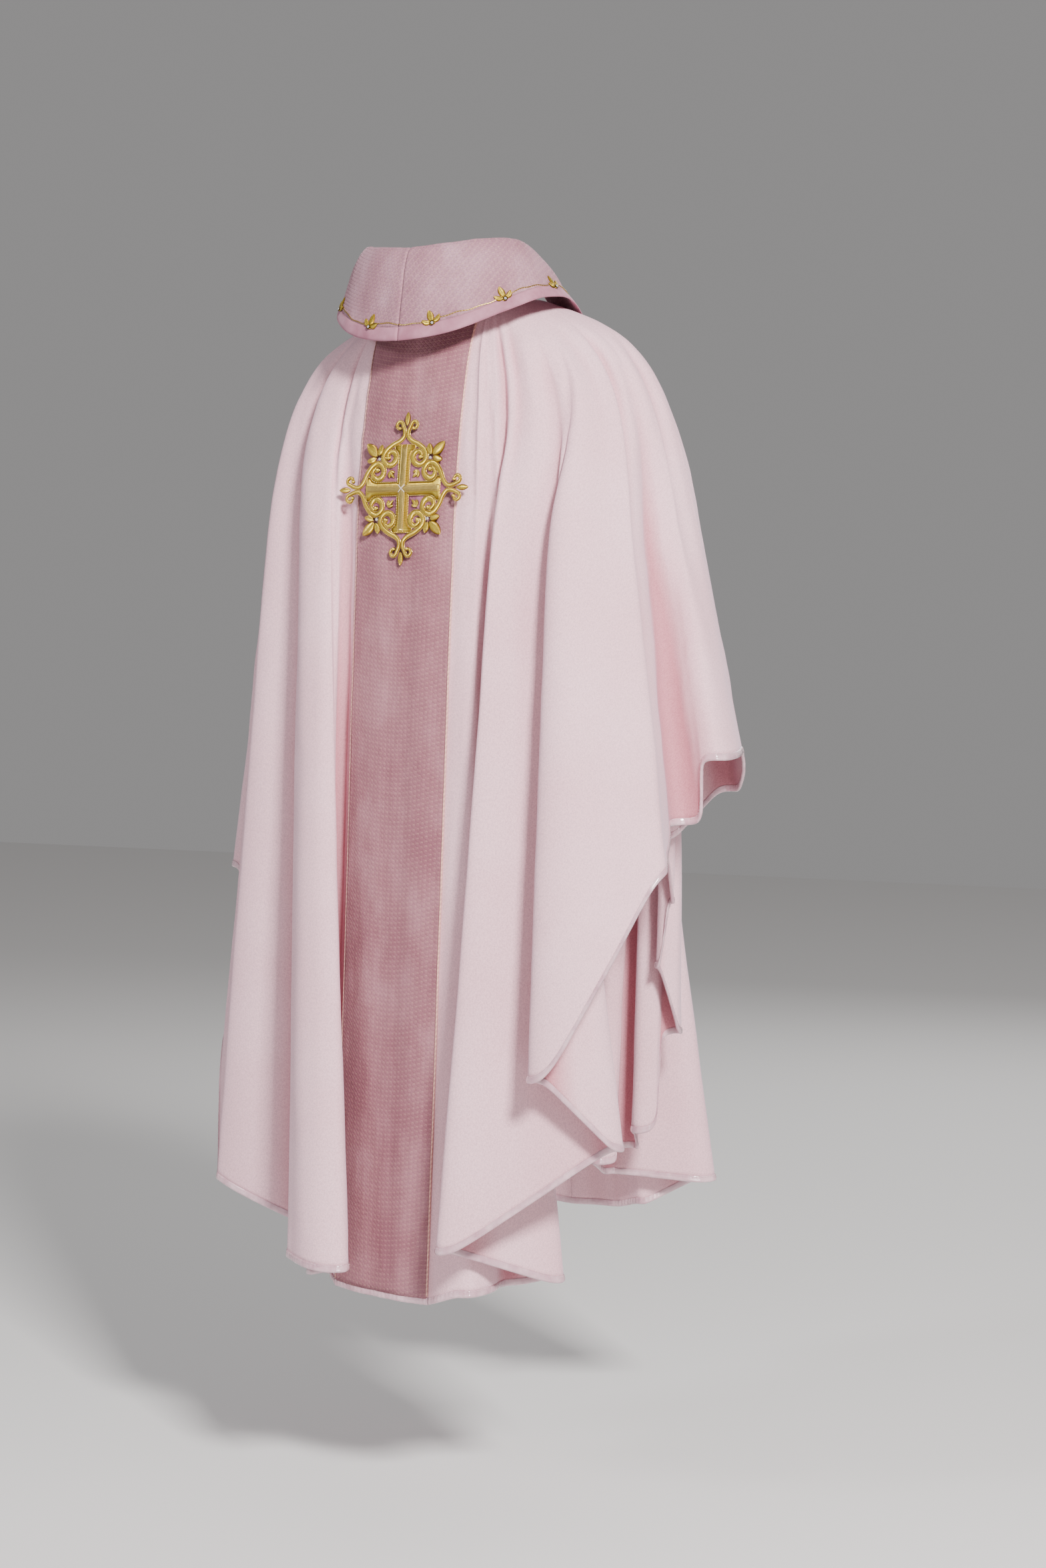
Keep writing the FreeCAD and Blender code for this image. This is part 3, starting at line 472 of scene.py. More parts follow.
def shell(name, outer, inner, uv, material, fold_shade=None, **kw):
    """closed sheet between two grids of points"""
    n = outer.shape[0] * outer.shape[1]
    idx = np.arange(n).reshape(outer.shape[:2])
    rim = np.concatenate([idx[0, :-1], idx[:-1, -1], idx[-1, :0:-1], idx[:0:-1, 0]])
    nxt = np.roll(rim, -1)
    sides = np.stack([rim, nxt, nxt + n, rim + n], -1)
    faces = np.concatenate([quads(*idx.shape, flip=True), quads(*idx.shape, n), sides])
    # the painted-shade values go to both faces, turned negative on the inner one
    if fold_shade is not None:
        fold_shade = np.concatenate([fold_shade.ravel(), -fold_shade.ravel()])
    mesh(name, np.concatenate([outer.reshape(-1, 3), inner.reshape(-1, 3)]), faces, material,
         np.concatenate([uv.reshape(-1, 2)] * 2), fold_shade=fold_shade, **kw)


def tube_grid(P, radius, sides, twist=0.0, lobes=0.0):
    """a cord of two strands along P; twist is turns per mm, lobes how deep the strands show"""
    T = unit(np.gradient(P, axis=0))
    up = np.array([0.31, 0.17, 0.93]) if abs(T[:, 2]).mean() < 0.7 else np.array([0.9, 0.4, 0.1])
    A = unit(np.cross(T, up))
    B = np.cross(T, A)
    s = run(P)[:, None]
    th = np.linspace(0, 2 * pi, sides, endpoint=False)
    ph = th - 2 * pi * twist * s
    r = radius * (1 + lobes * np.cos(2 * ph) - lobes)
    spokes = A[:, None] * np.cos(th)[:, None] + B[:, None] * np.sin(th)[:, None]
    return P[:, None] + spokes * r[..., None], np.stack(np.broadcast_arrays(ph / pi, s * 0.001), -1)


def inward(P, out, r, c):
    """whether the face at row r and column c of a grid looks away from out"""
    return np.cross(P[r, c + 1] - P[r, c], P[r + 1, c] - P[r, c]).dot(out) < 0


class Bits:
    """many small pieces gathered in one mesh"""

    def __init__(self):
        self.verts, self.faces, self.uv, self.count = [], [], [], 0

    def grid(self, P, uv, **kw):
        self.verts.append(P.reshape(-1, 3))
        self.faces.append(quads(*P.shape[:2], self.count, **kw))
        self.uv.append(uv.reshape(-1, 2))
        self.count += P.shape[0] * P.shape[1]

    def tube(self, P, *shape):
        self.grid(*tube_grid(P, *shape), wrap_c=True)

    def pad(self, padded, out):
        """a grid with its texture places, its faces turned to out"""
        P, uv = padded
        self.grid(P, uv, flip=inward(P, out, P.shape[0] // 2, P.shape[1] // 2))

    def stone(self, place, x, y, lift):
        """a glass stone of eight facets"""
        r, h = MM["crystal_radius"], MM["crystal_high"]
        rings = []
        for wide, z in ((r, 0), (r, 0.35 * h), (r * 0.72, 0.8 * h), (r * 0.4, h), (0.02, h)):
            a = np.linspace(0, 2 * pi, 9)[:-1] + (0.39 if wide < r else 0)
            rings.append(place(x + wide * np.cos(a), y + wide * np.sin(a), lift + z))
        P = np.stack(rings)
        self.grid(P, np.zeros(P.shape[:2] + (2,)), wrap_c=True, flip=inward(P, P[0, 0] - P[0].mean(0), 0, 0))

    def build(self, name, material, **kw):
        mesh(name, np.concatenate(self.verts), np.concatenate(self.faces), material,
             np.concatenate(self.uv), **kw)


# ------------------------------------------------- materials
WHITE = (1.0, 1.0, 1.0)


class Out:
    """an output of a shader node; sums and products of it add Math nodes"""

    def __init__(self, shader, socket):
        self.shader, self.socket = shader, socket

    def __add__(self, other):
        return self.shader.calc("ADD", self, other)

    def __mul__(self, other):
        return self.shader.calc("MULTIPLY", self, other)

    def __sub__(self, other):
        return self.shader.calc("SUBTRACT", self, other)

    def __rsub__(self, other):
        return self.shader.calc("SUBTRACT", other, self)

    def __truediv__(self, other):
        return self.shader.calc("DIVIDE", self, other)


class Shader:
    """a Principled material and the nodes that colour it"""

    def __init__(self, name, color, rough, **props):
        self.material = bpy.data.materials.new(name)
        self.material.use_nodes = True
        self.tree = self.material.node_tree
        self.surface = self.tree.nodes["Principled BSDF"]
        self.set(self.surface, Base_Color=color, Roughness=rough, **props)
        places = self.tree.nodes.new("ShaderNodeTexCoord").outputs
        self.object, self.uv = Out(self, places["Object"]), Out(self, places["UV"])

    def feed(self, socket, value):
        if isinstance(value, Out):
            self.tree.links.new(value.socket, socket)
        elif isinstance(value, tuple) and socket.type == "RGBA":
            socket.default_value = (*value, 1)
        else:
            socket.default_value = value

    def set(self, node, **values):
        """inputs by their names, with _ for a space, or else properties of the node"""
        for key, value in values.items():
            label = key.replace("_", " ")
            if label in node.inputs:
                self.feed(node.inputs[label], value)
            else:
                setattr(node, key, value)

    def node(self, kind, **values):
        n = self.tree.nodes.new("ShaderNode" + kind)
        self.set(n, **values)
        return n

    def mapped(self, coord, scale, turn=0):
        n = self.node("Mapping", Vector=coord, Scale=scale, Rotation=(0, 0, radians(turn)))
        return Out(self, n.outputs[0])

    def split(self, coord):
        n = self.node("SeparateXYZ", Vector=coord)
        return Out(self, n.outputs[0]), Out(self, n.outputs[1])

    def noise(self, coord, scale, detail=2.0, rough=0.5):
        n = self.node("TexNoise", Vector=coord, Scale=scale, Detail=detail, Roughness=rough)
        return Out(self, n.outputs["Fac"])

    def wave(self, coord, **values):
        return Out(self, self.node("TexWave", Vector=coord, **values).outputs["Fac"])

    def ramp(self, fac, stops):
        n = self.node("ValToRGB", Fac=fac)
        marks = n.color_ramp.elements
        while len(marks) < len(stops):
            marks.new(0.5)
        for mark, (place, color) in zip(marks, stops):
            mark.position, mark.color = place, (*color, 1)
        return Out(self, n.outputs[0])

    def mix(self, kind, fac, a, b):
        n = self.node("Mix", data_type="RGBA", blend_type=kind)
        for socket, value in ((n.inputs[0], fac), (n.inputs[6], a), (n.inputs[7], b)):
            self.feed(socket, value)
        return Out(self, n.outputs[2])

    def calc(self, operation, a, b=0.0, clamp=False):
        n = self.node("Math", operation=operation, use_clamp=clamp)
        self.feed(n.inputs[0], a)
        self.feed(n.inputs[1], b)
        return Out(self, n.outputs[0])

    def finish(self, color, height, strength, distance, **values):
        """colour and relief of the surface"""
        n = self.node("Bump", Height=height, Strength=strength, Distance=distance)
        self.set(self.surface, Base_Color=color, Normal=Out(self, n.outputs[0]), **values)
        return self.material


def crepe():
    """matte rose crepe: speckled yarn, a slow drift of tone, and painted shade: a deeper rose painted in the
    valleys between folds
    """
    s = Shader("rose_crepe", (0.80, 0.60, 0.63), 0.9, Sheen_Weight=0.22, Sheen_Roughness=0.5,
               Sheen_Tint=(0.80, 0.80, 1.0), Specular_IOR_Level=0.15)
    grain = s.noise(s.object, 620, 3, 0.7)
    slub = s.noise(s.mapped(s.uv, (1.0, 0.62, 1.0)), 430, 2, 0.6)
    rose = s.ramp(s.noise(s.object, 6.0), [(0.32, (0.800, 0.496, 0.546)), (0.68, (0.858, 0.560, 0.614))])
    # painted shade: the rose is darkened towards a deep rose where the attribute marks valleys between folds
    fold_shade = Out(s, s.node("Attribute", attribute_name="fold_shade").outputs["Fac"])
    rose = s.mix("MIX", s.calc("MULTIPLY", fold_shade, 0.95, True), rose, (0.565, 0.230, 0.270))
    yarn = s.ramp(grain * 0.66 + slub * 0.34, [(0.40, (0.80, 0.75, 0.78)), (0.58, WHITE)])
    return s.finish(s.mix("MULTIPLY", 0.9, rose, yarn), grain + slub * 0.6, 0.4, 0.0006)


def basket(s, cell, turn):
    """the brocade's brick grid: gold dashes, sunk lines and the height of the pillows between"""
    x, y = s.split(s.mapped(s.uv, (1 / cell, 1 / cell, 1), turn))

    def row(along, across):
        """lines at whole values of across; places along them shift like bricks from line to line"""
        off_line = s.calc("ABSOLUTE", s.calc("FRACT", across) - 0.5)
        shift = s.calc("MODULO", s.calc("FLOOR", across + 0.5) + 4000.0, 2.0) * 0.5
        return off_line, s.calc("GREATER_THAN", off_line, 0.445), s.calc("FRACT", along * 0.5 + shift)

    off1, line1, place1 = row(x, y)
    off2, line2, place2 = row(y, x)
    dash1 = line1 * s.calc("LESS_THAN", place1, 0.30)
    dash2 = line2 * s.calc("GREATER_THAN", place2, 0.72)
    dashes = s.calc("MAXIMUM", dash1, dash2 * 0.6)
    lines = s.calc("MAXIMUM", line1, line2 * 0.8)
    return dashes, lines, 0.5 - s.calc("MAXIMUM", off1, off2)


def brocade(name="velvet_brocade", tone=WHITE, cell=0.0042, turn=45):
    s = Shader(name, (0.5, 0.27, 0.32), 0.72, Sheen_Weight=0.22, Sheen_Roughness=0.4,
               Sheen_Tint=(1.0, 0.70, 0.80), Specular_IOR_Level=0.2)

    def toned(*color):
        return tuple(a * k for a, k in zip(color, tone))

    nap = s.noise(s.mapped(s.object, (1.0, 1.0, 0.6)), 15, 5, 0.62)
    fine_nap = s.noise(s.object, 420, 2, 0.6)
    pile = s.ramp(nap, [(0.36, toned(0.262, 0.102, 0.128)), (0.50, toned(0.312, 0.133, 0.160)),
                        (0.66, toned(0.375, 0.176, 0.208))])
    dashes, lines, pillow = basket(s, cell, turn)
    lined = s.mix("MIX", lines * 0.42, pile, toned(0.165, 0.062, 0.080))
    dashed = s.mix("MIX", dashes * 0.44, lined, (0.78, 0.50, 0.36))
    grain = s.ramp(fine_nap, [(0.35, (0.74, 0.72, 0.74)), (0.62, WHITE)])
    height = s.calc("MINIMUM", pillow, 0.3) * 2.4 + fine_nap * 0.5
    return s.finish(s.mix("MULTIPLY", 0.5, dashed, grain), height, 0.55, 0.0007,
                    Roughness=0.76 - dashes * 0.34)


def velvet(name, low, high):
    s = Shader(name, high, 0.66, Sheen_Weight=0.3, Sheen_Roughness=0.35, Sheen_Tint=(0.98, 0.70, 0.82),
               Specular_IOR_Level=0.35)
    pile = s.ramp(s.noise(s.object, 30, 4, 0.6), [(0.35, low), (0.68, high)])
    return s.finish(pile, s.noise(s.object, 650, 2, 0.6), 0.3, 0.0005)


def satin():
    s = Shader("satin_binding", (0.84, 0.66, 0.71), 0.22, Specular_IOR_Level=1.0,
               Anisotropic=0.4, Coat_Weight=1.0, Coat_Roughness=0.12)
    ribs = s.wave(s.uv, Scale=420, Distortion=1.6, Detail=1.0)
    sheen = s.ramp(s.noise(s.object, 45, 3, 0.6), [(0.3, (0.52, 0.28, 0.345)), (0.7, (0.78, 0.52, 0.58))])
    return s.finish(sheen, ribs * 0.25 + s.noise(s.object, 130), 0.55, 0.0012)


ACROSS = 0.003                 # texture distance from the middle of a padded shape to its side
# painted shade: padded gold darkens to brown towards its sides
SIDE_SHADE = [(0.52, WHITE), (0.84, (0.52, 0.42, 0.28)), (1.0, (0.16, 0.10, 0.04))]


def goldwork(name, pitch, low, high, rough, shade_sides=False):
    """satin stitch: threads lie along u, v runs along the shape; the colour runs from painted shade between
    threads to painted highlight along them, and padded shapes, which sink at their sides, can get painted
    shade darkening towards those sides
    """
    s = Shader(name, high, rough, Metallic=0.95, Specular_IOR_Level=0.6, Anisotropic=0.3)
    # painted shade and highlight: the thread wave turns the colour dark brown between threads and bright
    # yellow along them
    threads = s.wave(s.mapped(s.uv, (60, 0.314 / pitch, 1)), Scale=1.0, Distortion=2.2, Detail=1.5,
                     Detail_Scale=1.5, bands_direction="Y")
    # random patches that shift the gold between its painted shade and painted highlight, and vary its
    # roughness
    painted_light_and_rough_patches = s.noise(s.object, 160, 3, 0.6)
    lay = threads * 0.6 + painted_light_and_rough_patches * 0.4
    gold = s.ramp(lay, [(0.30, low), (0.47, lerp(low, high, 0.45)), (0.60, high)])
    # painted shade towards the sides of a padded shape
    if shade_sides:
        side = s.calc("ABSOLUTE", s.split(s.uv)[0]) / ACROSS
        gold = s.mix("MULTIPLY", 1.0, gold, s.ramp(side, SIDE_SHADE))
    return s.finish(gold, lay, 0.75, 0.0006, Roughness=painted_light_and_rough_patches * 0.16 + rough)


def twisted(name, one, two, metal, rough):
    """cord of two strands; u counts them round it"""
    s = Shader(name, one, rough, Metallic=metal, Specular_IOR_Level=0.5)
    strands = s.ramp(s.calc("FRACT", s.split(s.uv)[0] * 0.5), [(0.42, one), (0.55, two)])
    grain = s.ramp(s.noise(s.object, 900), [(0.35, (0.6, 0.6, 0.6)), (0.6, WHITE)])
    return s.finish(s.mix("MULTIPLY", 0.5, strands, grain), s.noise(s.object, 1400), 0.4, 0.0004)


def plain(name, color, rough, grain, **props):
    s = Shader(name, color, rough, **props)
    speckle = s.ramp(s.noise(s.object, grain, 3), [(0.35, tuple(c * 0.82 for c in color)), (0.65, color)])
    return s.finish(speckle, s.noise(s.object, grain * 2), 0.25, 0.0004)


CREPE = crepe()
BROCADE = brocade()
COLLAR_BROCADE = brocade("collar_brocade", (1.12, 1.36, 1.38), 0.0044, 6)
BAND = velvet("band_velvet", (0.30, 0.115, 0.165), (0.44, 0.205, 0.27))
GROUND = velvet("ground_velvet", (0.25, 0.075, 0.125), (0.38, 0.145, 0.215))
SATIN = satin()
# gold colours: the low end is painted shade, the high end painted highlight, the hue between is the thread's
# own
GOLD = goldwork("gold_satin_stitch", 0.0011, (0.24, 0.115, 0.004), (1.0, 0.78, 0.12), 0.27, True)
GOLD_EDGE = goldwork("gold_purl", 0.0006, (0.25, 0.14, 0.015), (1.0, 0.80, 0.28), 0.24)
GOLD_CORD = twisted("gold_cord", (1.0, 0.80, 0.27), (0.50, 0.30, 0.04), 1.0, 0.28)
PIPE_LIGHT = twisted("piping_light", (0.80, 0.47, 0.39), (0.64, 0.33, 0.29), 0.1, 0.42)
PIPE_DARK = twisted("piping_dark", (0.52, 0.27, 0.24), (0.38, 0.18, 0.17), 0.1, 0.5)
THREAD = plain("pale_thread", (0.90, 0.80, 0.80), 0.45, 900, Sheen_Weight=0.3)
SEWING = plain("sewing_thread", (0.66, 0.46, 0.50), 0.6, 900)
TAPE = plain("cotton_tape", (0.72, 0.56, 0.59), 0.85, 700, Sheen_Weight=0.2)
GEM = plain("cut_glass", (0.93, 0.93, 0.98), 0.04, 60, Transmission_Weight=0.55, IOR=1.6,
            Specular_IOR_Level=0.9)
FLOOR_PAINT = Shader("floor_paint", (0.80, 0.79, 0.78), 0.75).material


# ------------------------------------------------- the body cloth
PANELS = [("back_right_panel", CB, SHOULDER_R), ("front_right_panel", SHOULDER_R, CF),
          ("front_left_panel", CF, SHOULDER_L), ("back_left_panel", SHOULDER_L, CB + AROUND)]
SATIN_FROM = BIND + (1 - BIND) * 0.14      # inner edge of the binding as it is seen
DOWN = 230          # rows of points from the neck to the binding
STEP_U = 0.25       # spacing of points round the wearer, in poles
FULL_SHADE_DEPTH = 9.0                          # a valley so many mm deep gets the full painted shade


def painted_fold_shade(P, normals, reach):
    """how far each point lies in a valley between folds: 0 on open cloth, 1 deep inside; it sets the crepe's
    painted shade
    """
    k = np.arange(-reach, reach + 1)
    w = np.exp(-(k / (reach * 0.5)) ** 2)
    w /= w.sum()
    pad = np.concatenate([P[:, :1]] * reach + [P] + [P[:, -1:]] * reach, 1)
    blur = sum(w[i] * pad[:, i:i + P.shape[1]] for i in range(len(k)))
    return np.clip(((blur - P) * normals).sum(-1) / FULL_SHADE_DEPTH, -1, 1)


def panel(name, u0, u1):
    us = np.linspace(u0, u1, int(round((u1 - u0) / STEP_U)) + 1)
    vs = np.linspace(0, 1, DOWN) ** 1.08 * (SATIN_FROM + 0.0016)
    U, V = np.meshgrid(us, vs)
    outer, inner = on_cloth(U, V), on_cloth(U, V, -CLOTH)
    more = int(PER / STEP_U)
    beyond = STEP_U * np.arange(1, more + 1)
    U, V = np.meshgrid(np.concatenate([us[0] - beyond[::-1], us, us[-1] + beyond]), vs)
    # painted shade: how deep each point lies between folds, stored to darken the crepe there
    deep = painted_fold_shade(on_cloth(U, V), cloth.normals(U, V), more)[:, more:-more]
    shell(name + "_cloth", outer, inner, arc_uv(outer), CREPE, fold_shade=deep, node=name, slot="crepe")


for name, u0, u1 in PANELS:
    panel(name, u0, u1)


# ------------------------------------------------- orphreys and their piping
def strip(name, u0, u1):
    """centre strip with turned edges"""
    U, V = np.meshgrid(np.linspace(u0, u1, 60), np.linspace(0.0, SATIN_FROM + 0.0006, DOWN))
    edge = np.minimum(U - u0, u1 - U) / (u1 - u0)
    thick = MM["orphrey_thick"] * np.clip(edge / 0.016, 0.12, 1) ** 0.5
    outer = on_cloth(U, V, GAP + thick + 0.35 * tiny(U * 1.7, V * 0.9))
    shell(name + "_velvet", outer, on_cloth(U, V, GAP * 0.6), arc_uv(cloth.pts(U, V)), BROCADE,
          node=name, slot="brocade")


strip("back_orphrey", BL, BR)
strip("front_orphrey", FR, FL)


def piping(name, u, side, mat, plump):
    """twisted cord just beyond the edge u of a strip; side is the way out from the strip"""
    v = np.linspace(0.012, SATIN_FROM - 0.001, 1500)
    r = MM["piping_radius"]
    P, Q = (on_cloth(np.full(len(v), place), v, r * 0.75) for place in (u, u + side * 0.4))
    b = Bits()
    b.tube(P + unit(Q - P) * MM["piping_out"] * 0.45, r * plump, 12, 1 / 6.0, 0.12)
    b.build(name + "_cord", mat, node=name, slot="piping_cord")


piping("back_piping_left", BL, -1, PIPE_DARK, 0.6)
piping("back_piping_right", BR, 1, PIPE_LIGHT, 0.88)
piping("front_piping_right", FR, -1, PIPE_DARK, 0.6)
piping("front_piping_left", FL, 1, PIPE_LIGHT, 0.88)


# ------------------------------------------------- hem binding and its stitches
JOIN_U = BR + 0.4                          # the one join, beside the back strip
BINDING = [(-0.05, 0.2), (0, 0.75), (0.14, 0.95), (0.4, 1.5), (0.66, 1.5), (0.86, 1.1)]


def hem():
    """BINDING says how far off the cloth, in mm, the satin lies at shares of its width"""
    step = 0.1
    us = np.linspace(JOIN_U, JOIN_U + AROUND - 0.04, int((AROUND - 0.04) / step))
    wide = 1 - SATIN_FROM
    front = [(SATIN_FROM + wide * share, off) for share, off in BINDING] + [(0.9997, 0.3)]
    section = front + [(1.0, -CLOTH / 2)] + [(v, -CLOTH - off) for v, off in reversed(front)]
    s = run(cloth.pts(us, np.full(len(us), 0.999)))
    waves = np.sin(s * 2 * pi / 6.3 + 1.3 * np.sin(s / 31.0))
    knots = s[::22]
    beat = 0.5 * waves + 0.5 * np.interp(s, knots, np.random.RandomState(21).uniform(-1, 1, len(knots)))
    lines = []
    for v, off in section:
        pucker = 0.2 + 0.3 * np.exp(-((v - SATIN_FROM) / (wide * 0.55)) ** 2)
        sign = 1 if off > -CLOTH / 2 else -1
        lines.append(on_cloth(us, np.full(len(us), v), off + sign * beat * pucker))
    P = np.stack(lines, 1)
    b = Bits()
    b.grid(P, np.stack(np.broadcast_arrays(run(P[0]), s[:, None]), -1) * 0.001, wrap_c=True)
    b.build("hem_binding_satin", SATIN, node="hem_binding", slot="satin")
    stitches = Bits()
    for k, start in enumerate(np.arange(4, s[-1] - 6, 4.3)):
        u = np.interp(start + np.array([0, 0.7, 1.5, 2.3, 3.0]), s, us)
        v = SATIN_FROM + wide * (0.13 + 0.03 * sin(k * 1.7))
        stitches.tube(on_cloth(u, np.full(5, v), np.array([0.7, 1.2, 1.35, 1.2, 0.7])), 0.22, 5)
    stitches.build("hem_stitches", SEWING)


hem()


def tape():
    U, V = np.meshgrid(np.linspace(0, AROUND, 600), np.linspace(0.001, 0.0125, 5))
    outer, inner = cloth.off(U, V, -CLOTH - 0.4), cloth.off(U, V, -CLOTH - 1.4)
    shell("neck_tape_cotton", outer, inner, arc_uv(outer), TAPE, node="neck_tape", slot="crepe")


tape()


# ------------------------------------------------- the collar
FOLD_AT = 0.5                              # how far down the collar's surface it folds over
THICK = MM["collar_thick"] / 2


def up_from_edge(width):
    """place of a line that many mm up from the collar's edge at centre back"""
    low, high = 0.6, 1.0
    for _ in range(30):
        v = (low + high) / 2
        if dist(collar.pts(0, v), collar.pts(0, 1.0)) > width:
            low = v
        else:
            high = v
    return v


BAND_V, CORD_V = up_from_edge(MM["collar_band"]), up_from_edge(MM["couched_cord_up"])


def collar_part(name, u0, u1, v0, v1, mat, slot, edged=False):
    """one half of a collar layer; edged thins it towards the free edge and pads it"""
    us = np.linspace(u0, u1, 340)
    U, V = np.meshgrid(us, np.linspace(v0, v1, max(8, int((v1 - v0) * 110))))
    end = np.clip(np.minimum(U - u0, u1 - U) / 0.35, 0, 1)
    edge = np.clip((1 - V) / 0.012, 0, 1) if edged else 1.0
    t = THICK * (0.25 + 0.75 * np.sqrt(end)) * (0.35 + 0.65 * np.sqrt(edge))
    puff = 0.5 * np.sin(pi * (V - v0) / (v1 - v0)) if edged else 0
    shell(name + "_cloth", on_collar(U, V, t + puff), on_collar(U, V, -t), arc_uv(collar.pts(U, V)), mat,
          node=name, slot=slot)


def collar_cord(side, station):
    """couched gold cord over six stations from the given one"""
    k = station + 0.01 + 5.98 * np.linspace(0, 1, 900)
    sway = 0.006 * np.sin(2 * pi * k / 1.333) + 0.0022 * np.sin(2 * pi * k / 0.41)
    r = MM["couched_cord_radius"]
    b = Bits()
    b.tube(on_collar(k * STEPS, CORD_V + sway, THICK + r * 0.6), r, 8, 1 / 3.6, 0.16)
    b.build("collar_cord_%s_gold" % side, GOLD_CORD, node="collar_cord_" + side, slot="gold_thread")


for side, start in (("right", 0), ("left", HALF)):
    ends = (start + 0.04, start + HALF - 0.04)
    collar_part("collar_stand_" + side, *ends, 0.0, FOLD_AT, COLLAR_BROCADE, "brocade")
    collar_part("collar_fall_" + side, *ends, FOLD_AT, BAND_V, COLLAR_BROCADE, "brocade")
    collar_part("collar_band_" + side, *ends, BAND_V, 1.0, BAND, "velvet", True)
collar_cord("right", 0)
collar_cord("left", 6)


# ------------------------------------------------- padded embroidery
GROUND_FACE = MM["ground_thick"] + GAP + 0.5       # where the gold starts above the bed of an emblem


def leaf_grid(place, root, tip, wide, high, bow=0.0, n=15):
    """a padded leaf: threads across it, crowned, split by its mid vein"""
    r, d = np.array(root, float), np.subtract(tip, root)
    long = np.hypot(*d)
    side = np.array([-d[1], d[0]]) / long
    a, c = np.linspace(0, 1, n)[:, None], np.linspace(-1, 1, 9)[None]
    prof = np.sin(pi * a) ** 0.62 * (1 - 0.22 * (a - 0.5))
    out = c * (wide / 2 * prof + 0.12) + bow * np.sin(pi * a)
    vein = 0.16 * high * np.exp(-(c / 0.16) ** 2)
    z = high * np.sqrt(np.maximum(0, 1 - np.abs(c) ** 2.4)) * (0.3 + 0.7 * prof) - vein
    along = a * long * 0.001 + np.abs(c) * wide * 0.0002
    return (place(r[0] + d[0] * a + side[0] * out, r[1] + d[1] * a + side[1] * out, z),
            np.stack(np.broadcast_arrays(c * ACROSS, along), -1))


def stroke_line(pts, widths, per=7):
    """centre points, side directions and half widths along a smooth curve"""
    p = np.array(pts, float)
    t = np.linspace(0, len(p) - 1, per * (len(p) - 1) + 1)
    i = np.clip(np.floor(t).astype(int), 0, len(p) - 2)
    s = (t - i)[:, None]
    q = np.vstack([2 * p[0] - p[1], p, 2 * p[-1] - p[-2]])
    a, b, c, d = q[i], q[i + 1], q[i + 2], q[i + 3]
    C = 0.5 * (2 * b + (c - a) * s + (2 * a - 5 * b + 4 * c - d) * s ** 2 + (3 * b - a - 3 * c + d) * s ** 3)
    T = unit(np.gradient(C, axis=0))
    w = np.interp(np.linspace(0, 1, len(C)), np.linspace(0, 1, len(widths)), widths)[:, None] / 2
    return C, np.stack([-T[:, 1], T[:, 0]], 1), w


def stroke_edge(place, pts, widths, side):
    """the way of the couched cord along one side of a stroke"""
    C, N, w = stroke_line(pts, widths)
    E = C + N * w * side
    return place(E[:, 0], E[:, 1], 0.55)


def stroke_grid(place, pts, widths, high):
    """a padded stroke of changing width along a smooth curve"""
    C, N, w = stroke_line(pts, widths)
    share = np.linspace(0, 1, len(C))[:, None]
    ends = np.sqrt(np.clip(np.minimum(share, 1 - share) * 30, 0.05, 1))
    k = np.linspace(-1, 1, 9)[None]
    x, y = C[:, :1] + N[:, :1] * w * k * ends, C[:, 1:] + N[:, 1:] * w * k * ends
    z = high * np.sqrt(np.maximum(0, 1 - np.abs(k) ** 2.4)) * ends * (0.55 + 0.45 * np.minimum(1, w / 2.0))
    return place(x, y, z), np.stack(np.broadcast_arrays(k * ACROSS, run(C)[:, None] * 0.001), -1)


class Bed:
    """where an emblem lies: x across, y up, z out of the cloth, in mm"""

    def __init__(self, u, side, z0):
        self.side, self.z0 = side, z0
        self.out = np.array([0, side, 0.0])
        self.rise = GAP * 2 + MM["orphrey_thick"] + MM["piping_out"] * 0.9
        P = cloth.pts(np.full(160, u), np.linspace(0.03, 0.8, 160))
        self.h, self.y = P[::-1, 2], P[::-1, 1]

    def __call__(self, x, y, z):
        h = self.z0 + y
        yy = np.interp(h, self.h, self.y)
        slope = (np.interp(h + 4, self.h, self.y) - np.interp(h - 4, self.h, self.y)) / 8
        n = unit(np.stack([0 * slope, self.side * np.ones_like(slope), -self.side * slope], -1))
        base = np.stack(np.broadcast_arrays(-self.side * x, yy + self.side * self.rise, h), -1)
        return base + n * np.asarray(z)[..., None]

    def face(self, x, y, z):
        """the same with z from the face of the velvet ground"""
        return self(x, y, z + GROUND_FACE)


def quarters(x, y, turns):
    for _ in range(turns):
        x, y = y, -x
    return x, y


def turned(pts, k):
    """the k-th of eight copies round an emblem; the odd ones are mirrored"""
    return [quarters(-x if k % 2 else x, y, k // 2) for x, y in pts]


SCROLL = [(10.2, 74.4), (13.6, 75.5), (15.0, 78.6), (13.6, 81.8), (10.6, 83.0), (7.4, 81.6),
          (5.7, 78.0), (3.7, 73.6), (2.7, 69.0), (3.8, 63.6), (9.6, 58.6), (19.4, 54.0),
          (28.0, 47.4), (31.6, 40.2), (29.4, 33.6), (23.4, 29.6), (16.4, 31.2), (12.4, 37.2),
          (14.2, 43.4), (20.0, 46.0), (24.8, 42.6), (23.6, 38.4)]
SCROLL_WIDE = [1.8, 2.6, 2.8, 2.8, 3.0, 3.2, 3.4, 3.8, 4.2, 4.6, 4.4, 4.8, 5.4, 4.6, 3.0, 4.4]
LOBE = [(2.4, 72.0), (4.6, 66.0), (5.4, 61.6), (11.6, 57.2), (20.6, 53.2), (28.4, 47.4),
        (32.0, 40.4), (30.6, 34.0)]
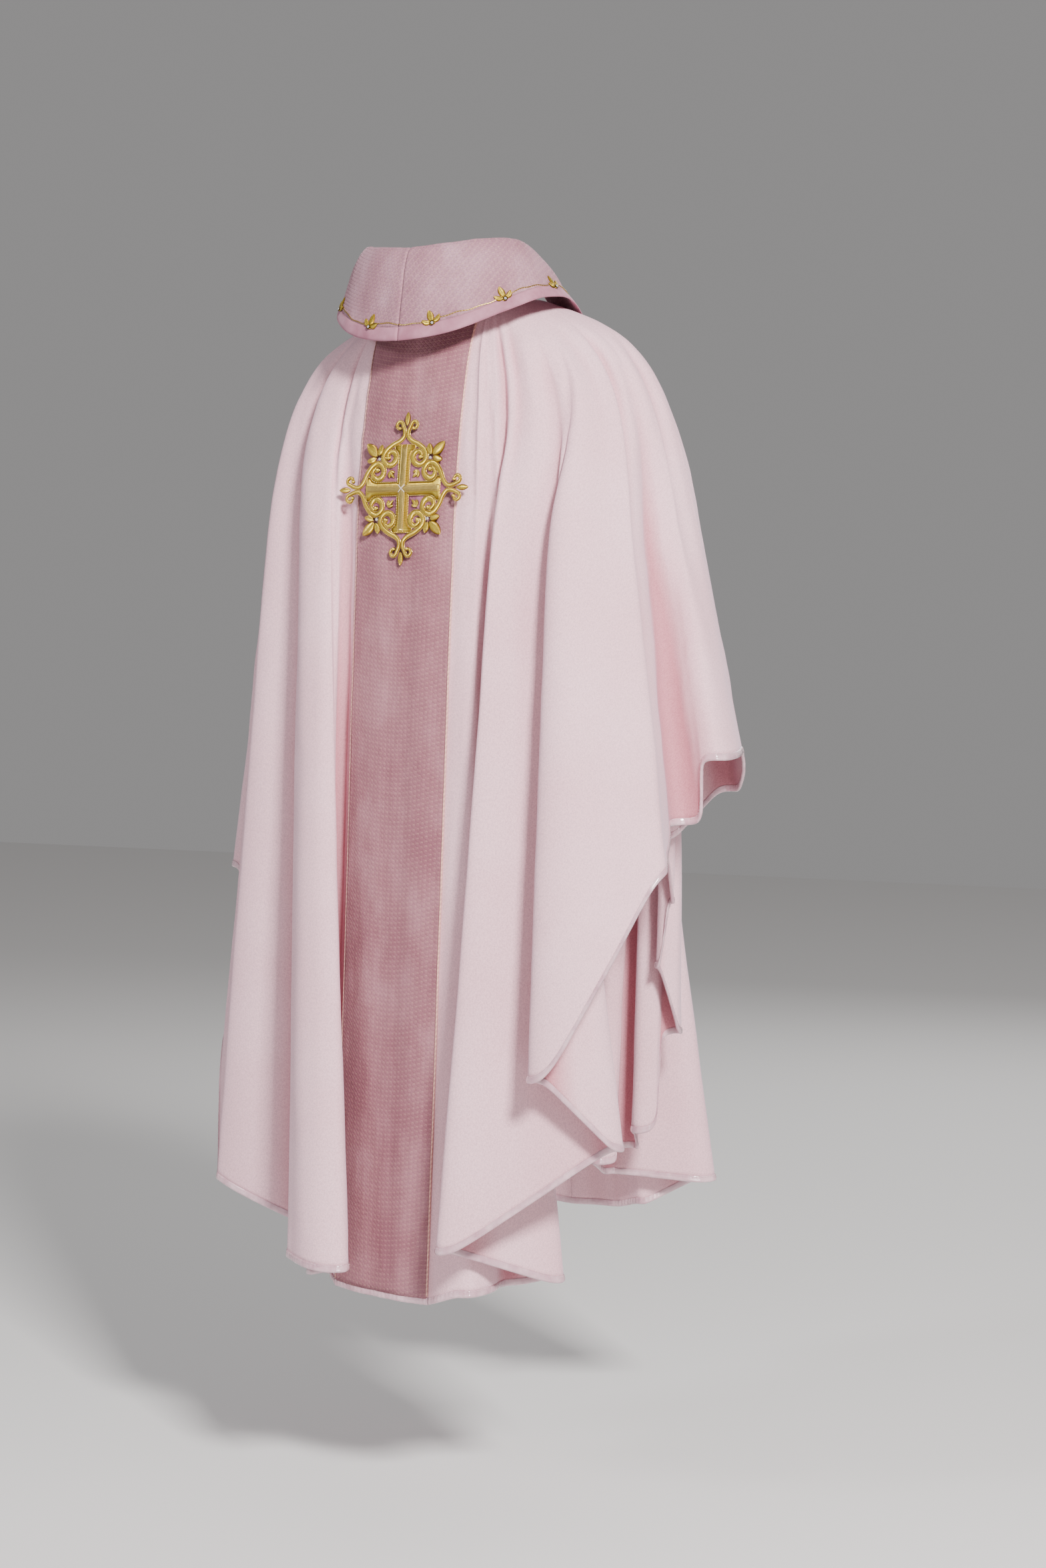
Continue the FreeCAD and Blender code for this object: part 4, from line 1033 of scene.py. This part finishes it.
# leaves of one corner spray and of one small fleur: root, tip, width, bow
CORNER_LEAVES = [((41.0, 41.0), (57, 57), 10, 0), ((38.6, 41.6), (34.6, 55.2), 7, 0.8),
                 ((41.6, 38.6), (55.2, 34.6), 7, -0.8)]
FLEUR_LEAVES = [((22.0, 22.0), (13.6, 13.6), 3.2, 0), ((21.0, 22.4), (13.4, 20.2), 3.0, 0),
                ((22.4, 21.0), (20.2, 13.4), 3.0, 0)]
# the embroidery is fuller than its flat CAD pads by these shares
STROKE_FULL, CORNER_FULL, FLEUR_FULL = 1.42, 1.3, 1.4


def ground(prefix, bed):
    """velvet quatrefoil, filled as a fan of rings that turn down at the rim"""
    rim = []
    for k in range(4):
        rim += turned(LOBE, 2 * k) + turned(LOBE[::-1], 2 * k + 1)
    n = len(rim)
    places = np.linspace(0, n, 8 * n, endpoint=False)
    rx, ry = (np.interp(places, np.arange(n + 1), line) for line in np.array(rim + rim[:1]).T)
    f = np.concatenate([np.linspace(0.02, 0.97, 26), [1.0]])[:, None]
    x, y = rx * f, ry * f
    P = bed(x, y, MM["ground_thick"] * np.where(f > 0.99, 0.1, 1.0))
    b = Bits()
    b.grid(P, np.stack([x, y], -1) * 0.001, wrap_c=True, flip=inward(P, bed.out, 20, 0))
    b.build(prefix + "_ground_velvet", GROUND, node=prefix + "_ground", slot="velvet")


def cross(prefix, bed):
    """four crowned arms, each with a satin rib down the middle and cords beside both"""
    w, flare, h, high = MM["cross_wide"] / 2, MM["cross_flare"] / 2, MM["cross_half"], MM["cross_relief"]
    outline = [(0.4, 0.4), (w, w), (w, h - 15), (w + 0.8, h - 11), (w + 2.6, h - 7.6),
               (flare - 0.6, h - 5.2), (flare, h - 3.4), (flare - 0.8, h)]
    half_w, up = np.array(outline).T
    y = np.concatenate([np.linspace(0.5, h - 15, 40), np.linspace(h - 15, h, 26)[1:]])
    wide = np.interp(y, up, half_w)
    rib_w = np.minimum(3.6, wide * 0.7)
    c, Y, W, R = np.linspace(-1, 1, 15)[None], y[:, None], wide[:, None], rib_w[:, None]
    crown = np.sqrt(np.maximum(0, 1 - np.abs(c) ** 3.2)) * 0.93 * (0.9 + 0.1 * np.cos(2 * pi * c))
    fade = np.clip((h - Y) / 1.2, 0, 1) ** 0.5 * np.clip(W / 3.0, 0.35, 1)
    rib_crown = np.sqrt(np.maximum(0, 1 - np.abs(c) ** 2.2)) * np.clip((h - 2 - Y) / 2.0, 0, 1) ** 0.5
    pad_uv = np.stack(np.broadcast_arrays(c * ACROSS, Y * 0.001), -1)
    rib_uv = np.stack(np.broadcast_arrays(Y * 0.0005, (c * R + Y) * 0.001), -1)
    for arm, turns in (("_cross_upright", (0, 2)), ("_cross_bar", (1, 3))):
        gold, rib, cords = Bits(), Bits(), Bits()
        for q in turns:
            def place(x, y, z):
                return bed.face(*quarters(x, y, q), z)

            across = Y + 0 * c
            gold.pad((place(c * W, across, high * crown * fade + 0.05), pad_uv), bed.out)
            rib.pad((place(c * R, across, high * 0.72 + 1.9 * rib_crown), rib_uv), bed.out)
            for side in (-1, 1):
                cords.tube(place(side * (rib_w + 0.3), y, high * 0.93), 0.5, 6, 1 / 2.4, 0.15)
                cords.tube(place(side * wide * 1.02, y, 0.7), 0.8, 8, 1 / 3.2, 0.17)
            end = np.linspace(-1, 1, 30) * wide[-1]
            cords.tube(place(end, np.full(30, h + 0.2), 0.8), 0.85, 8, 1 / 3.2, 0.17)
        gold.build(prefix + arm + "_padding", GOLD, node=prefix + arm, slot="gold_thread")
        rib.build(prefix + arm + "_rib", GOLD_EDGE, slot="gold_thread")
        cords.build(prefix + arm + "_outline", GOLD_CORD, slot="gold_thread")


def crossing(prefix, bed):
    """two crossed pairs of pale threads over the middle of the cross"""
    threads = Bits()
    t = np.linspace(-6.5, 6.5, 20)
    for angle, over in ((45, 0), (135, 0.3)):
        c, s = cos(radians(angle)), sin(radians(angle))
        z = MM["cross_relief"] + 0.9 + 0.9 * np.cos(t / 6.5 * pi / 2) + over
        for off in (-0.3, 0.3):
            threads.tube(bed.face(t * c - off * s, t * s + off * c, z), 0.22, 6, 1 / 2.0, 0.12)
    threads.build(prefix + "_crossing_silk", THREAD, node=prefix + "_crossing_threads", slot="pale_thread")


def scrolls(prefix, bed):
    """four lobes of two mirrored scrolls, with a padded ball at each end of a scroll"""
    widths, high = [w * STROKE_FULL for w in SCROLL_WIDE], MM["scroll_relief"]
    for lobe, way in enumerate(("top", "right", "bottom", "left")):
        name = prefix + "_scrolls_" + way
        gold, cords = Bits(), Bits()
        for k in (2 * lobe, 2 * lobe + 1):
            pts = turned(SCROLL, k)
            gold.pad(stroke_grid(bed.face, pts, widths, high * 1.15), bed.out)
            for (x, y), r in ((pts[-1], 3.3), (pts[0], 2.6)):
                gold.pad(leaf_grid(bed.face, (x - r, y), (x + r, y), r * 1.9, high * 1.35, n=11), bed.out)
            for side in (-1, 1):
                cords.tube(stroke_edge(bed.face, pts, widths, side), 0.62, 6, 1 / 2.6, 0.15)
        gold.build(name + "_gold", GOLD, node=name, slot="gold_thread")
        cords.build(name + "_outline", GOLD_CORD, slot="gold_thread")


def sprays(prefix, bed):
    """four spear tips, four corner sprays with a crystal each, four small fleurs"""
    high = MM["leaf_relief"]
    spears, leaves, fleurs, gems = Bits(), Bits(), Bits(), Bits()
    for k in (0, 2, 4, 6):
        def leaf(bits, root, tip, wide, tall, bow=0):
            bits.pad(leaf_grid(bed.face, *turned([root, tip], k), wide, tall, bow), bed.out)

        leaf(spears, (0, 78.0), (0, MM["emblem_half"]), 7.4, high * 1.2)
        for root, tip, wide, bow in CORNER_LEAVES:
            leaf(leaves, root, tip, wide * CORNER_FULL, high * 1.5, bow)
        for root, tip, wide, bow in FLEUR_LEAVES:
            leaf(fleurs, root, tip, wide * FLEUR_FULL, high, bow)
        gems.stone(bed, *turned([(37.4, 37.4)], k)[0], GROUND_FACE + 0.2)
    spears.build(prefix + "_spears_gold", GOLD, node=prefix + "_spear_tips", slot="gold_thread")
    leaves.build(prefix + "_leaves_gold", GOLD, node=prefix + "_corner_leaves", slot="gold_thread")
    fleurs.build(prefix + "_fleurs_gold", GOLD, node=prefix + "_inner_fleurs", slot="gold_thread")
    gems.build(prefix + "_stones", GEM, node=prefix + "_crystals", slot="crystal", smooth=False)


for prefix, bed in (("back_emblem", Bed(CB, 1, MM["emblem_z"])),
                    ("front_emblem", Bed(CF, -1, MM["front_emblem_z"]))):
    for part in (ground, cross, crossing, scrolls, sprays):
        part(prefix, bed)


# ------------------------------------------------- lilies on the collar
LILIES = [0.67, 2.0, 3.33, 4.67, 6.0, 7.33, 8.67, 10.0, 11.33]     # at these stations


def collar_frame(u, v, lift, spin):
    """maps flat (x, y, z) onto the collar: y up the cloth, z away from it"""
    o, z = on_collar([u], [v], lift)[0], collar.normals(np.array([u]), [v])[0]
    y = collar.pts(u, v - 0.01) - collar.pts(u, v + 0.01)
    y = unit(y - z * y.dot(z))
    x = np.cross(y, z)
    c, s = cos(radians(spin)), sin(radians(spin))

    def place(X, Y, Z):
        X, Y, Z = np.broadcast_arrays(X, Y, Z)
        return o + (X * c - Y * s)[..., None] * x + (X * s + Y * c)[..., None] * y + Z[..., None] * z
    return place


def lilies():
    """three leaves and a bar, with a crystal in a gold ring over their roots"""
    gold, stones = Bits(), Bits()
    L = MM["lily_leaf"]
    for k in LILIES:
        lean = 0 if k == 6.0 else 18 if k < 6 else -18
        place = collar_frame(k * STEPS, CORD_V + 0.018, THICK + 0.5, lean)
        out = place(0.0, 0.0, 1.0) - place(0.0, 0.0, 0.0)
        for angle, long, wide, bow in ((0, L, L * 0.52, 0), (58, L * 0.84, L * 0.40, -1.6),
                                       (-58, L * 0.84, L * 0.40, 1.6)):
            s, c = sin(radians(angle)), cos(radians(angle))
            root, tip = (1.4 * s, 1.0 + 1.4 * c), (long * s, 1.0 + long * c)
            gold.pad(leaf_grid(place, root, tip, wide, MM["lily_relief"], bow), out)
        gold.pad(leaf_grid(place, (-4.0, -0.4), (4.0, -0.4), 2.6, 1.6, n=9), out)
        a = np.linspace(0, 2 * pi, 20)
        gold.tube(place(2.5 * np.cos(a), 0.6 + 2.5 * np.sin(a), 2.0), 0.7, 6, 1 / 2.0, 0.15)
        stones.stone(place, 0, 0.6, 1.5)
    gold.build("collar_lilies_gold", GOLD, node="collar_lilies", slot="gold_thread")
    stones.build("collar_stones", GEM, node="collar_crystals", slot="crystal", smooth=False)


lilies()


# ------------------------------------------------- panels, their trim and sewn-on parts, gathered by name
TRIM = {side: [made[n] for n in made if n.startswith(side + "_piping")] for side in ("back", "front")}
SEWN_ON = {"back_right_panel": [made["hem_binding_satin"], made["hem_stitches"]]}
for name, _, _ in PANELS:
    made[name + "_cloth"]
    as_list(SEWN_ON.get(name, []))
for side, length in (("back", 1.24), ("front", 1.11)):
    [name + "_cloth" for name, _, _ in PANELS if name.startswith(side)]
    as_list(TRIM[side])


# ------------------------------------------------- floor, light, camera
FLOOR = -1.518
FLOOR_HALF = 9.0


def stand(o):
    bpy.context.scene.collection.objects.link(o)


def floor():
    me = bpy.data.meshes.new("floor")
    s = FLOOR_HALF
    me.from_pydata([(-s, -s, FLOOR), (s, -s, FLOOR), (s, s, FLOOR), (-s, s, FLOOR)], [], [(0, 1, 2, 3)])
    me.materials.append(FLOOR_PAINT)
    stand(bpy.data.objects.new("floor", me))


floor()


def area(name, where, target, power, wide, color=WHITE):
    d = bpy.data.lights.new(name, "AREA")
    d.energy, d.size, d.color = power, wide, color
    o = bpy.data.objects.new(name, d)
    o.location = where
    o.rotation_euler = (Vector(target) - Vector(where)).to_track_quat("-Z", "Y").to_euler()
    stand(o)


world = bpy.data.worlds.new("studio")
bpy.context.scene.world = world
world.use_nodes = True
air = world.node_tree.nodes["Background"]
air.inputs["Color"].default_value = (0.92, 0.90, 0.90, 1)
air.inputs["Strength"].default_value = 0.31
area("key", (-3.05, 2.65, 1.8), (0, 0, -0.6), 460, 0.7, (1.0, 0.97, 0.955))
area("left_fill", (1.9, 3.4, 1.2), (0, 0, -0.5), 46, 0.6, (0.92, 0.95, 1.0))
area("front_fill", (0.5, -4.0, 1.4), (0, 0, -0.6), 60, 2.6)

cam = bpy.data.objects.new("camera", bpy.data.cameras.new("camera"))
cam.location = (-2.107, 3.400, -0.429)
cam.rotation_euler = (radians(87.2), 0, radians(211))
cam.data.lens, cam.data.sensor_width = 71.2, 36
bpy.context.scene.collection.objects.link(cam)
bpy.context.scene.camera = cam
